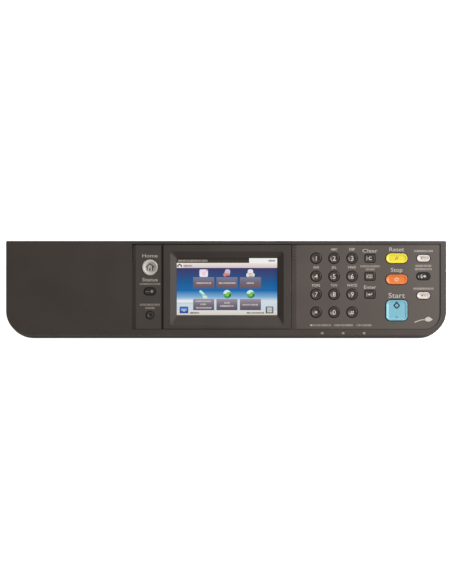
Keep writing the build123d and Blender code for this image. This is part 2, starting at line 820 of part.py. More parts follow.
with BuildPart() as indicator_leds:
    with BuildSketch(Plane.XY.offset(board_top)):
        with Locations([(x, key_board_front + 1.1) for x in light_places] + [(lens_x, lens_y)]):
            Rectangle(1.6, 0.8)
    extrude(amount=led_height)
indicator_leds.part.label = "indicator_leds"
export_step(indicator_leds.part, "parts/indicator_leds.step")

# Parts on the main board
with BuildPart() as harness_socket:
    back = panel_back - socket_sink
    with Locations((socket_x, back - socket_depth / 2, main_board_top + socket_height / 2)):
        Box(socket_width, socket_depth, socket_height)
    with Locations((socket_x, back - (socket_depth - socket_wall) / 2, main_board_top + socket_height / 2)):
        Box(
            socket_width - 2 * socket_wall,
            socket_depth - socket_wall,
            socket_height - 2 * socket_wall,
            mode=Mode.SUBTRACT,
        )
    fillet(edges().filter_by(Axis.Y).group_by(SortBy.LENGTH)[-1], 0.3)
harness_socket.part.label = "harness_socket"
export_step(harness_socket.part, "parts/harness_socket.step")

with BuildPart() as socket_contacts:
    with BuildSketch(Plane.XY.offset(main_board_top + socket_wall)):
        with Locations((socket_x, back - socket_depth / 2)):
            with GridLocations(contact_pitch, 0, contact_count, 1):
                Rectangle(0.9, socket_depth - 2 * socket_wall - 0.5)
    extrude(amount=contact_thickness)
socket_contacts.part.label = "socket_contacts"
export_step(socket_contacts.part, "parts/socket_contacts.step")

with BuildPart() as processor:
    with BuildSketch(Plane.XY.offset(main_board_top)):
        with Locations((screen_x - 2.0, screen_y - 8.0)):
            Rectangle(14, 14)
    extrude(amount=1.4)
    chamfer(edges().group_by(Axis.Z)[-1], 0.3)
processor.part.label = "processor"
export_step(processor.part, "parts/processor.step")

with BuildPart() as memory_chip:
    with BuildSketch(Plane.XY.offset(main_board_top)):
        with Locations((screen_x - 20.0, screen_y - 8.0)):
            Rectangle(8, 14)
    extrude(amount=1.1)
memory_chip.part.label = "memory_chip"
export_step(memory_chip.part, "parts/memory_chip.step")

with BuildPart() as buzzer:
    with BuildSketch(Plane.XY.offset(main_board_top)):
        with Locations((screen_x - 38.0, screen_y + 20.0)):
            Circle(6)
    extrude(amount=5)
    fillet(edges().group_by(Axis.Z)[-1], 0.5)
    with BuildSketch(Plane.XY.offset(main_board_top + 5)):
        with Locations((screen_x - 38.0, screen_y + 20.0)):
            Circle(1.2)
    extrude(amount=-1.0, mode=Mode.SUBTRACT)
buzzer.part.label = "buzzer"
export_step(buzzer.part, "parts/buzzer.step")

with BuildPart() as capacitors:
    with BuildSketch(Plane.XY.offset(main_board_top)):
        with Locations((screen_x - 8.0, screen_y + 24.0)):
            with GridLocations(9, 0, 3, 1):
                Circle(3)
    extrude(amount=6)
    fillet(edges().group_by(Axis.Z)[-1], 0.4)
capacitors.part.label = "capacitors"
export_step(capacitors.part, "parts/capacitors.step")

# Flat cables between the boards and the sockets that hold their ends
home_end = home_right - 7.0
keypad_end = keypad_left + 6.0
home_foot = screen_x - main_board_width / 2 + 5.0
keypad_foot = screen_x + main_board_width / 2 - 5.0
screen_foot = screen_drop + 6.4
cable_y = screen_y + 1.0
with BuildPart() as home_cable:
    ribbon(
        [
            ((home_end, high_cable), (home_drop, high_cable)),
            ((home_drop, low_cable), (home_drop, high_cable)),
            ((home_drop, low_cable), (home_foot - cable_thickness, low_cable)),
        ],
        Plane.XZ.offset(-cable_y),
    )
home_cable.part.label = "home_cable"
export_step(home_cable.part, "parts/home_cable.step")

with BuildPart() as keypad_cable:
    ribbon(
        [
            ((keypad_drop, high_cable), (keypad_end - cable_thickness, high_cable)),
            ((keypad_drop, low_cable), (keypad_drop, high_cable)),
            ((keypad_foot, low_cable), (keypad_drop, low_cable)),
        ],
        Plane.XZ.offset(-cable_y),
    )
keypad_cable.part.label = "keypad_cable"
export_step(keypad_cable.part, "parts/keypad_cable.step")

with BuildPart() as screen_cable:
    screen_end = screen_y - module_depth / 2 - cable_thickness
    ribbon(
        [
            ((screen_drop, bracket_top + 1.0), (screen_end, bracket_top + 1.0)),
            ((screen_drop, low_cable), (screen_drop, bracket_top + 1.0)),
            ((screen_drop, low_cable), (screen_foot - cable_thickness, low_cable)),
        ],
        Plane.YZ.offset(screen_x + 10.0),
    )
screen_cable.part.label = "screen_cable"
export_step(screen_cable.part, "parts/screen_cable.step")

with BuildPart() as ribbon_sockets:
    half = ribbon_socket_depth / 2
    with BuildSketch(Plane.XY.offset(main_board_top)):
        with Locations((home_foot + half, cable_y), (keypad_foot - half, cable_y)):
            Rectangle(ribbon_socket_depth, cable_width + 3)
        with Locations((screen_x + 10.0, screen_foot + half)):
            Rectangle(cable_width + 3, ribbon_socket_depth)
    extrude(amount=ribbon_socket_height)
    with BuildSketch(Plane.XY.offset(board_under - ribbon_socket_height)):
        with Locations((home_end - half, cable_y), (keypad_end + half, cable_y)):
            Rectangle(ribbon_socket_depth, cable_width + 3)
    extrude(amount=ribbon_socket_height)
ribbon_sockets.part.label = "ribbon_sockets"
export_step(ribbon_sockets.part, "parts/ribbon_sockets.step")

# Screws
with BuildPart() as cover_screws:
    with BuildSketch(Plane.XY.offset(head_recess - screw_head_height)):
        with Locations(cover_bosses):
            Circle(screw_head_radius)
    extrude(amount=screw_head_height)
    with BuildSketch(Plane.XY.offset(head_recess)):
        with Locations(cover_bosses):
            Circle(screw_radius)
    extrude(amount=cover_under - head_recess - 3.5)
    with BuildSketch(Plane.XY.offset(head_recess - screw_head_height)):
        with Locations(cover_bosses):
            Rectangle(2.6, 0.6)
            Rectangle(0.6, 2.6)
    extrude(amount=1.0, mode=Mode.SUBTRACT)
cover_screws.part.label = "cover_screws"
export_step(cover_screws.part, "parts/cover_screws.step")

with BuildPart() as key_board_screws:
    small_screws(home_bosses + keypad_bosses, board_under, plate_under - board_under - 1.0)
key_board_screws.part.label = "key_board_screws"
export_step(key_board_screws.part, "parts/key_board_screws.step")

with BuildPart() as bracket_screws:
    small_screws(bezel_bosses, bracket_top - bracket_thickness, plate_under - bracket_top - 0.5)
bracket_screws.part.label = "bracket_screws"
export_step(bracket_screws.part, "parts/bracket_screws.step")

with BuildPart() as board_screws:
    with BuildSketch(Plane.XY.offset(main_board_top)):
        with Locations(main_board_screws):
            Circle(small_head_radius)
    extrude(amount=small_head_height)
    with BuildSketch(Plane.XY.offset(main_board_top)):
        with Locations(main_board_screws):
            Circle(small_screw_radius)
    extrude(amount=floor_thickness - 0.5 - main_board_top)
board_screws.part.label = "board_screws"
export_step(board_screws.part, "parts/board_screws.step")
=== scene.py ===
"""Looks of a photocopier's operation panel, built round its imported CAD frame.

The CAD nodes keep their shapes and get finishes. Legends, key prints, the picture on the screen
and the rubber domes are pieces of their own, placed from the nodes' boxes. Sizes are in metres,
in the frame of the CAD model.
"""

import json
import logging
import math
from collections.abc import Callable, Iterable, Sequence
from dataclasses import dataclass, field
from enum import Enum

import bmesh
import bpy
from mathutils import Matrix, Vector

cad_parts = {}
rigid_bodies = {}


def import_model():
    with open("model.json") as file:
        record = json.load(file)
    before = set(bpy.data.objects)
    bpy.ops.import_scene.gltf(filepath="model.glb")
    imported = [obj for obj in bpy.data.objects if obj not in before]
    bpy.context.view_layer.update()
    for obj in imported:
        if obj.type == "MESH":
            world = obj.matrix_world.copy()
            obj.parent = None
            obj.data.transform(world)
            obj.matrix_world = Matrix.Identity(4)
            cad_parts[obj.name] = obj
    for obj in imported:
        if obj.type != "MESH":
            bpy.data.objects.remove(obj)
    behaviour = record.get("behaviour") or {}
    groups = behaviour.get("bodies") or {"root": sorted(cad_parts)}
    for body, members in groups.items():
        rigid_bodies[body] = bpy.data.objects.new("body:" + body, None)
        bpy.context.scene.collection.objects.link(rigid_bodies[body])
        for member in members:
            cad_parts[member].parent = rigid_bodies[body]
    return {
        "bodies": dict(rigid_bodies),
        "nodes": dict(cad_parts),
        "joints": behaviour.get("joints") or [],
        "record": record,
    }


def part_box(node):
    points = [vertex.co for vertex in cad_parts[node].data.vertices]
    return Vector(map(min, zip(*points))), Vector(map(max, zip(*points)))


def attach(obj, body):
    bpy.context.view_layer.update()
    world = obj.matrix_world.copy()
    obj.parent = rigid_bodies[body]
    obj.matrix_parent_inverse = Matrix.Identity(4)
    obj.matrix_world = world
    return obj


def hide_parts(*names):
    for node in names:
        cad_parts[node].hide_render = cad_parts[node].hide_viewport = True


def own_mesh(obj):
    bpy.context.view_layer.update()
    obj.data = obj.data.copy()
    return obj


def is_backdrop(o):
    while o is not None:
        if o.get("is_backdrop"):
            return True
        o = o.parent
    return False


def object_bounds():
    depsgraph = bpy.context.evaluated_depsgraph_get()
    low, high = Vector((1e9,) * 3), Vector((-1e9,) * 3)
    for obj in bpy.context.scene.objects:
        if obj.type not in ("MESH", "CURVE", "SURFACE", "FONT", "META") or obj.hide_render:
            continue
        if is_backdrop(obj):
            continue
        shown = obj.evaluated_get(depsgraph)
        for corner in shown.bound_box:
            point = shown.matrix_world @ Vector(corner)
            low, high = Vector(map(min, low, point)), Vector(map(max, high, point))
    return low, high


log = logging.getLogger("operation_panel")

MM = 0.001
HOUSING = "housing"

Colour = tuple[float, float, float]
Point = tuple[float, float]
Outline = list[Point]

# Painted shade: the dark colour of the key caps below the plate, standing in for the shade in the gaps
# round them.
GAP_SHADE: Colour = (0.03, 0.026, 0.023)


class Sheet(Enum):
    """The sheets of the screen's picture, from the lowest up."""

    SKY = 0
    STRIP = 1
    TILE = 2
    ICON = 3
    MARK = 4
    LINE = 5


# ---------------------------------------------------------------- shader maths


@dataclass(frozen=True)
class Signal:
    """A shader value that takes Python arithmetic, each operation adding its Math node."""

    graph: "Graph"
    socket: bpy.types.NodeSocket

    def _math(self, operation: str, *values: "Signal | float") -> "Signal":
        """Adds a Math node over the values."""
        return self.graph.node("ShaderNodeMath", {"operation": operation}, dict(enumerate(values)))

    def __add__(self, other: "Signal | float") -> "Signal":
        """self + other."""
        return self._math("ADD", self, other)

    def __radd__(self, other: float) -> "Signal":
        """other + self."""
        return self._math("ADD", other, self)

    def __sub__(self, other: "Signal | float") -> "Signal":
        """self - other."""
        return self._math("SUBTRACT", self, other)

    def __rsub__(self, other: float) -> "Signal":
        """other - self."""
        return self._math("SUBTRACT", other, self)

    def __mul__(self, other: "Signal | float") -> "Signal":
        """self * other."""
        return self._math("MULTIPLY", self, other)

    def __rmul__(self, other: float) -> "Signal":
        """other * self."""
        return self._math("MULTIPLY", other, self)

    def __truediv__(self, other: "Signal | float") -> "Signal":
        """self / other."""
        return self._math("DIVIDE", self, other)

    def ramp(self, low: float, high: float) -> "Signal":
        """Rises smoothly from 0 at low to 1 at high."""
        return self.graph.node(
            "ShaderNodeMapRange",
            {"interpolation_type": "SMOOTHSTEP"},
            {"Value": self, "From Min": low, "From Max": high},
        )


class Graph:
    """One material's nodes: a Principled shader and what feeds it."""

    def __init__(self, name: str) -> None:
        """Makes the material with its shader and output.

        Args:
            name: The material's name.
        """
        self.material = bpy.data.materials.new(name)
        self.material.use_nodes = True
        self.tree = self.material.node_tree
        self.tree.nodes.clear()
        self.shader = self.tree.nodes.new("ShaderNodeBsdfPrincipled")
        output = self.tree.nodes.new("ShaderNodeOutputMaterial")
        self.tree.links.new(self.shader.outputs[0], output.inputs["Surface"])

    def node(
        self,
        kind: str,
        settings: dict[str, object] | None = None,
        inputs: dict[int | str, object] | None = None,
        output: int | str = 0,
    ) -> Signal:
        """Adds one node of any type.

        Args:
            kind: The node's type name.
            settings: Attributes set before the sockets; "stops" fills a colour ramp.
            inputs: Values or signals by socket name or number.
            output: The output socket that is returned.

        Returns:
            The chosen output as a signal.
        """
        made = self.tree.nodes.new(kind)
        for key, value in (settings or {}).items():
            if key == "stops":
                for index, (place, colour) in enumerate(value):
                    stop = (
                        made.color_ramp.elements[index]
                        if index < 2
                        else made.color_ramp.elements.new(place)
                    )
                    stop.position, stop.color = place, (*colour, 1)
            else:
                setattr(made, key, value)
        for key, value in (inputs or {}).items():
            self.feed(made.inputs[key], value)
        return Signal(self, made.outputs[output])

    def feed(self, socket: bpy.types.NodeSocket, value: object) -> None:
        """Links a signal to a socket, or sets its constant."""
        if isinstance(value, Signal):
            self.tree.links.new(value.socket, socket)
        elif isinstance(value, tuple) and len(value) == 3 and socket.type == "RGBA":
            socket.default_value = (*value, 1)
        else:
            socket.default_value = value

    def set(self, **values: object) -> None:
        """Feeds the Principled shader's sockets, named with underscores for spaces."""
        for key, value in values.items():
            self.feed(self.shader.inputs[key.replace("_", " ")], value)

    def place(self, scale: Sequence[float] = (1, 1, 1), centre: Sequence[float] = (0, 0, 0)) -> Signal:
        """The point on the piece, moved to a centre and scaled."""
        spot = self.node("ShaderNodeTexCoord", output="Object")
        moved = self.node(
            "ShaderNodeVectorMath", {"operation": "SUBTRACT"}, {0: spot, 1: tuple(centre)}
        )
        return self.node(
            "ShaderNodeVectorMath", {"operation": "MULTIPLY"}, {0: moved, 1: tuple(scale)}
        )

    def noise(self, spot: Signal, scale: float, detail: float = 2.0, rough: float = 0.5) -> Signal:
        """Fractal noise from 0 to 1 at the given number of waves in a metre."""
        return self.node(
            "ShaderNodeTexNoise",
            {"noise_dimensions": "3D"},
            {"Vector": spot, "Scale": scale, "Detail": detail, "Roughness": rough},
            "Fac",
        )

    def blend(self, share: Signal, first: object, second: object) -> Signal:
        """Mixes two colours by a signal."""
        return self.node(
            "ShaderNodeMix", {"data_type": "RGBA"}, {0: share, 6: first, 7: second}, 2
        )

    def bump(self, height: Signal, distance: float, strength: float = 1.0) -> None:
        """Feeds the shader's normal from a height signal."""
        normal = self.node(
            "ShaderNodeBump",
            inputs={"Height": height, "Distance": distance, "Strength": strength},
            output="Normal",
        )
        self.set(Normal=normal)


def shade(colour: Colour, factor: float) -> Colour:
    """The colour made lighter or darker by a factor."""
    return tuple(min(1.0, part * factor) for part in colour)


# ---------------------------------------------------------------- finishes


@dataclass(frozen=True)
class MouldedPlastic:
    """A spark eroded, moulded plastic with fine grain and faint mottling."""

    name: str
    colour: Colour
    roughness: float = 0.5
    grain: float = 0.55 * MM
    depth: float = 0.02 * MM
    mottle: float = 0.06
    sheen: float = 0.5

    def material(self) -> bpy.types.Material:
        """Builds the finish's nodes."""
        graph = Graph(self.name)
        spot = graph.place()
        cloud = graph.noise(spot, 28, 3)
        pits = graph.noise(spot, 1 / self.grain, 2, 0.6)
        light, dark = shade(self.colour, 1 + self.mottle), shade(self.colour, 1 - self.mottle)
        speck = shade(self.colour, 1 + 2.2 * self.mottle)
        tone = graph.blend(cloud.ramp(0.3, 0.7), dark, light)
        graph.set(
            Base_Color=graph.blend(pits.ramp(0.58, 0.75), tone, speck),
            Roughness=self.roughness - 0.04 + 0.1 * cloud + 0.06 * pits,
            Specular_IOR_Level=self.sheen,
        )
        graph.bump(pits, self.depth)
        return graph.material


@dataclass(frozen=True)
class KeyPlastic:
    """A smooth key cap, a little worn on its crown, darkened below the plate by painted shade for its
    gap.
    """

    name: str
    colour: Colour
    roughness: float = 0.34
    coat: float = 0.15
    crown: float = 25.6 * MM
    # Painted shade: the height below which the cap takes the dark gap colour.
    skirt: float = 24.0 * MM

    def material(self) -> bpy.types.Material:
        """Builds the finish's nodes."""
        graph = Graph(self.name)
        spot = graph.place()
        cloud = graph.noise(spot, 240, 2)
        fine = graph.noise(spot, 3200, 2, 0.6)
        height = graph.node("ShaderNodeSeparateXYZ", inputs={0: spot}, output="Z")
        worn = height.ramp(self.crown - 1.2 * MM, self.crown) * cloud
        tone = graph.blend(worn, shade(self.colour, 0.96), shade(self.colour, 1.05))
        # Painted shade: below this height the cap takes the dark gap colour, for the shade in the gap
        # round it.
        above_gap_shade = height.ramp(self.skirt, self.skirt + 0.8 * MM)
        graph.set(
            Base_Color=graph.blend(above_gap_shade, GAP_SHADE, tone),
            Roughness=self.roughness + 0.06 * fine - 0.05 * worn,
            Coat_Weight=self.coat,
            Coat_Roughness=0.25,
        )
        graph.bump(fine, 0.004 * MM)
        return graph.material


@dataclass(frozen=True)
class SilverCap:
    """A lacquered silver cap with painted shade that darkens its dish towards the middle and to the +X
    side.
    """

    name: str
    centre: tuple[float, float]
    radius: float
    rim: Colour = (0.94, 0.88, 0.83)
    # The painted shade's colour at the dish's middle.
    middle: Colour = (0.56, 0.505, 0.465)

    def material(self) -> bpy.types.Material:
        """Builds the finish's nodes."""
        graph = Graph(self.name)
        size = 1 / self.radius
        spot = graph.place((size, size, 0), (*self.centre, 0))
        away = graph.node("ShaderNodeVectorMath", {"operation": "LENGTH"}, {0: spot}, "Value")
        shade_lean = graph.node("ShaderNodeSeparateXYZ", inputs={0: spot}, output="X")
        # Painted shade: dark in the middle of the dish and leaning to +X, standing in for the shade of
        # the concave dish.
        share = (away - 0.28 * shade_lean).ramp(0.35, 1.0)
        fine = graph.noise(graph.place(), 2600, 2)
        graph.set(
            Base_Color=graph.blend(share, self.middle, self.rim),
            Metallic=0.25,
            Roughness=0.34 + 0.08 * fine,
            Coat_Weight=0.2,
        )
        return graph.material


@dataclass(frozen=True)
class Ink:
    """Screen printed ink, slightly uneven."""

    name: str
    colour: Colour
    roughness: float = 0.45

    def material(self) -> bpy.types.Material:
        """Builds the finish's nodes."""
        graph = Graph(self.name)
        patch = graph.noise(graph.place(), 900, 2)
        graph.set(
            Base_Color=graph.blend(patch.ramp(0.35, 0.7), shade(self.colour, 0.93), self.colour),
            Roughness=self.roughness + 0.1 * patch,
        )
        return graph.material


@dataclass(frozen=True)
class Glow:
    """A patch of the lit picture behind the touch panel, from one colour up to another."""

    name: str
    stops: tuple[tuple[float, Colour], ...]
    low: float = 0.0
    high: float = 1.0
    strength: float = 1.0

    def material(self) -> bpy.types.Material:
        """Builds the finish's nodes."""
        graph = Graph(self.name)
        spot = graph.place()
        along = graph.node("ShaderNodeSeparateXYZ", inputs={0: spot}, output="Y")
        share = (along - self.low) / max(self.high - self.low, 1e-6)
        tone = (
            graph.node("ShaderNodeValToRGB", {"stops": self.stops}, {"Fac": share}, "Color")
            if len(self.stops) > 1
            else self.stops[0][1]
        )
        graph.set(
            Base_Color=(0.01, 0.01, 0.01),
            Roughness=0.5,
            Specular_IOR_Level=0.0,
            Emission_Color=tone,
            Emission_Strength=self.strength,
        )
        return graph.material


@dataclass(frozen=True)
class Metal:
    """Plated or rolled metal with fine streaks."""

    name: str
    colour: Colour
    roughness: float = 0.35
    streak: Sequence[float] = (1, 14, 14)

    def material(self) -> bpy.types.Material:
        """Builds the finish's nodes."""
        graph = Graph(self.name)
        streaks = graph.noise(graph.place(self.streak), 260, 3)
        graph.set(
            Base_Color=graph.blend(streaks, shade(self.colour, 0.88), self.colour),
            Metallic=1.0,
            Roughness=self.roughness + 0.15 * streaks,
        )
        graph.bump(streaks, 0.004 * MM)
        return graph.material


@dataclass(frozen=True)
class BoardMask:
    """Solder mask over copper tracks on a glass epoxy board."""

    name: str
    colour: Colour

    def material(self) -> bpy.types.Material:
        """Builds the finish's nodes."""
        graph = Graph(self.name)
        spot = graph.place()
        weave = graph.node(
            "ShaderNodeTexBrick",
            {"offset": 0.5},
            {
                "Vector": spot,
                "Scale": 160.0,
                "Color1": shade(self.colour, 0.8),
                "Color2": self.colour,
                "Mortar": shade(self.colour, 1.7),
                "Mortar Size": 0.04,
            },
            "Color",
        )
        cloud = graph.noise(spot, 60, 2)
        graph.set(Base_Color=weave, Roughness=0.3 + 0.1 * cloud, Coat_Weight=0.4)
        return graph.material


@dataclass(frozen=True)
class Clear:
    """A clear or smoked plastic or glass skin that shows what is behind it."""

    name: str
    colour: Colour
    alpha: float
    roughness: float = 0.12

    def material(self) -> bpy.types.Material:
        """Builds the finish's nodes."""
        graph = Graph(self.name)
        smear = graph.noise(graph.place(), 35, 3)
        graph.set(
            Base_Color=self.colour,
            Alpha=self.alpha,
            Roughness=self.roughness + 0.08 * smear,
        )
        return graph.material


@dataclass
class Finishes:
    """Every finish on the panel, each made into a material once."""

    made: dict[str, bpy.types.Material] = field(default_factory=dict)

    def get(self, finish: object) -> bpy.types.Material:
        """The material of a finish, built the first time it is asked for."""
        if finish.name not in self.made:
            self.made[finish.name] = finish.material()
        return self.made[finish.name]


COVER_GREY = MouldedPlastic("cover_grey", (0.066, 0.052, 0.044))
TRAY_GREY = MouldedPlastic("tray_grey", (0.034, 0.026, 0.02), roughness=0.6, sheen=0.35)
BEZEL_GREY = MouldedPlastic("bezel_grey", (0.07, 0.057, 0.05), roughness=0.56, sheen=0.35)
PLATE_GREY = MouldedPlastic("plate_grey", (0.1, 0.081, 0.071))
HOME_GREY = MouldedPlastic("home_plate_grey", (0.078, 0.064, 0.056))
KEY_GREY = KeyPlastic("key_dark_grey", (0.06, 0.049, 0.042), 0.36, 0.1)
KEY_BLACK = KeyPlastic("key_black", (0.03, 0.026, 0.024), 0.3)
KEY_WHITE = KeyPlastic("key_white", (0.66, 0.6, 0.545))
KEY_STATUS = KeyPlastic("key_status_grey", (0.032, 0.027, 0.024), 0.4, 0.1)
KEY_YELLOW = KeyPlastic("key_yellow", (0.84, 0.71, 0.055))
KEY_ORANGE = KeyPlastic("key_orange", (0.8, 0.205, 0.045))
KEY_BLUE = KeyPlastic("key_blue", (0.22, 0.5, 0.61))
INK_WHITE = Ink("ink_white", (0.72, 0.68, 0.63))
INK_SOFT = Ink("ink_soft", (0.56, 0.51, 0.46))
INK_DIM = Ink("ink_dim", (0.34, 0.3, 0.26))
INK_DARK = Ink("ink_dark", (0.02, 0.08, 0.12))
INK_BLACK = Ink("ink_black", (0.012, 0.01, 0.01))
INK_HOUSE = Ink("ink_house", (0.07, 0.055, 0.05))
INK_PEARL = Ink("ink_pearl", (0.62, 0.56, 0.52))
INK_SKY = Ink("ink_sky", (0.4, 0.66, 0.76))
INK_OLIVE = Ink("ink_olive", (0.36, 0.3, 0.08))
INK_PALE = Ink("ink_pale", (0.9, 0.62, 0.4))
INK_WARM = Ink("ink_warm", (0.27, 0.235, 0.21))
RUBBER = MouldedPlastic("dome_rubber", (0.5, 0.5, 0.48), roughness=0.7, mottle=0.03)
FOAM = MouldedPlastic("gasket_foam", (0.02, 0.02, 0.02), roughness=0.9, grain=0.3 * MM)
BLACK_MOULDING = MouldedPlastic("package_black", (0.02, 0.02, 0.02), roughness=0.45)
NYLON = MouldedPlastic("socket_nylon", (0.72, 0.68, 0.6), roughness=0.45, mottle=0.03)
CABLE_FILM = MouldedPlastic("cable_film", (0.62, 0.66, 0.7), roughness=0.3, mottle=0.03)
DIFFUSER = MouldedPlastic("diffuser_white", (0.85, 0.85, 0.83), roughness=0.5, mottle=0.01)
STEEL = Metal("plated_steel", (0.62, 0.62, 0.6))
SCREW_STEEL = Metal("screw_steel", (0.58, 0.57, 0.55), 0.28, (1, 1, 1))
ALUMINIUM = Metal("capacitor_can", (0.75, 0.75, 0.75), 0.3)
GOLD = Metal("contact_gold", (0.85, 0.62, 0.28), 0.25, (1, 1, 1))
BOARD = BoardMask("board_green", (0.02, 0.13, 0.05))
TOUCH_GLASS = Clear("touch_glass", (0.03, 0.03, 0.035), 0.06)
SMOKED_LENS = Clear("smoked_lens", (0.36, 0.325, 0.3), 0.92, 0.2)
START_LENS = Clear("start_lens", (0.16, 0.4, 0.5), 0.95, 0.2)
LED_RESIN = Clear("led_resin", (0.8, 0.75, 0.5), 0.8, 0.15)
CELL_DARK = MouldedPlastic("cell_edge", (0.02, 0.03, 0.05), roughness=0.2, mottle=0.02)


# ---------------------------------------------------------------- mesh helpers


def add_piece(name: str, mesh: bpy.types.Mesh, body: str) -> bpy.types.Object:
    """Puts a finished mesh in the scene as a piece that rides on a body.

    Args:
        name: The piece's name.
        mesh: Its mesh, already in place.
        body: The CAD body that it moves with.

    Returns:
        The new object.
    """
    mesh.name = name
    piece = bpy.data.objects.new(name, mesh)
    bpy.context.scene.collection.objects.link(piece)
    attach(piece, body)
    log.info("%s on %s, %d faces", name, body, len(mesh.polygons))
    return piece


def mesh_from(source: bmesh.types.BMesh, material: bpy.types.Material) -> bpy.types.Mesh:
    """Turns a bmesh into a mesh with one material."""
    bmesh.ops.recalc_face_normals(source, faces=source.faces)
    mesh = bpy.data.meshes.new("part")
    source.to_mesh(mesh)
    source.free()
    mesh.materials.append(material)
    return mesh


def slab(source: bmesh.types.BMesh, outline: Sequence[Point], low: float, high: float) -> None:
    """Adds a closed prism over an outline.

    Args:
        source: The bmesh that takes it.
        outline: Its corners in order.
        low: Height of its underside.
        high: Height of its top.
    """
    bottom = [source.verts.new((x, y, low)) for x, y in outline]
    top = [source.verts.new((x, y, high)) for x, y in outline]
    source.faces.new(list(reversed(bottom)))
    source.faces.new(top)
    count = len(outline)
    for i in range(count):
        j = (i + 1) % count
        source.faces.new((bottom[i], bottom[j], top[j], top[i]))


def rounded(x: float, y: float, width: float, depth: float, radius: float = 0.0) -> list[Point]:
    """The outline of a rectangle with round corners about a centre."""
    if radius <= 0:
        signs = ((-1, -1), (1, -1), (1, 1), (-1, 1))
        return [(x + a * width / 2, y + b * depth / 2) for a, b in signs]
    radius = min(radius, width / 2 - 1e-6, depth / 2 - 1e-6)
    points = []
    for turn, (a, b) in enumerate(((1, 1), (-1, 1), (-1, -1), (1, -1))):
        for step in range(7):
            angle = math.radians(90 * turn + 15 * step)
            points.append(
                (
                    x + a * (width / 2 - radius) + radius * math.cos(angle),
                    y + b * (depth / 2 - radius) + radius * math.sin(angle),
                )
            )
    return points


def ring(x: float, y: float, radius: float, count: int = 24, squash: float = 1.0) -> list[Point]:
    """A circle's or an ellipse's points about a centre."""
    turns = (2 * math.pi * i / count for i in range(count))
    return [(x + radius * math.cos(a), y + squash * radius * math.sin(a)) for a in turns]


def stroke(start: Point, end: Point, width: float) -> list[Point]:
    """The outline of a straight line of the given width."""
    along = Vector(end) - Vector(start)
    side = Vector((-along.y, along.x)).normalized() * width / 2
    a, b = Vector(start), Vector(end)
    return [tuple(a - side), tuple(b - side), tuple(b + side), tuple(a + side)]


def strokes(lines: Iterable[tuple[Point, Point]], width: float) -> list[Outline]:
    """The outlines of straight lines of one width."""
    return [stroke(a, b, width) for a, b in lines]


def placed(outlines: Iterable[Outline], centre: Point) -> list[Outline]:
    """Outlines in millimetres about a centre, as places in the frame."""
    x, y = centre
    return [[(x + a * MM, y + b * MM) for a, b in line] for line in outlines]


def middle_of(name: str) -> Point:
    """The middle of a node, seen from above."""
    low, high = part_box(name)
    return (low.x + high.x) / 2, (low.y + high.y) / 2


def lettering(
    words: str,
    x: float,
    y: float,
    height: float,
    width: float | None = None,
    weight: float = 0.004,
) -> bpy.types.Mesh:
    """A flat mesh of words, its capitals of a given height.

    Args:
        words: The words.
        x: Place along X of the middle of the words.
        y: Place along Y of the middle of the capitals.
        height: Height of a capital.
        width: Full width of the words, if it is set.
        weight: How far the strokes are fattened, as a share of the letters' size.

    Returns:
        The mesh at height 0.
    """
    curve = bpy.data.curves.new("letters", "FONT")
    curve.body, curve.size, curve.resolution_u = words, 1.0, 3
    curve.offset = weight
    holder = bpy.data.objects.new("letters", curve)
    bpy.context.scene.collection.objects.link(holder)
    bpy.context.view_layer.update()
    ready = holder.evaluated_get(bpy.context.evaluated_depsgraph_get())
    mesh = bpy.data.meshes.new_from_object(ready)
    bpy.data.objects.remove(holder)
    bpy.data.curves.remove(curve)
    xs = [v.co.x for v in mesh.vertices]
    scale = height / 0.72
    stretch = scale if width is None else width / (max(xs) - min(xs))
    middle = (min(xs) + max(xs)) / 2
    for v in mesh.vertices:
        v.co = (x + (v.co.x - middle) * stretch, y + (v.co.y - 0.36) * scale, 0.0)
    return mesh


# ---------------------------------------------------------------- node trees for what repeats


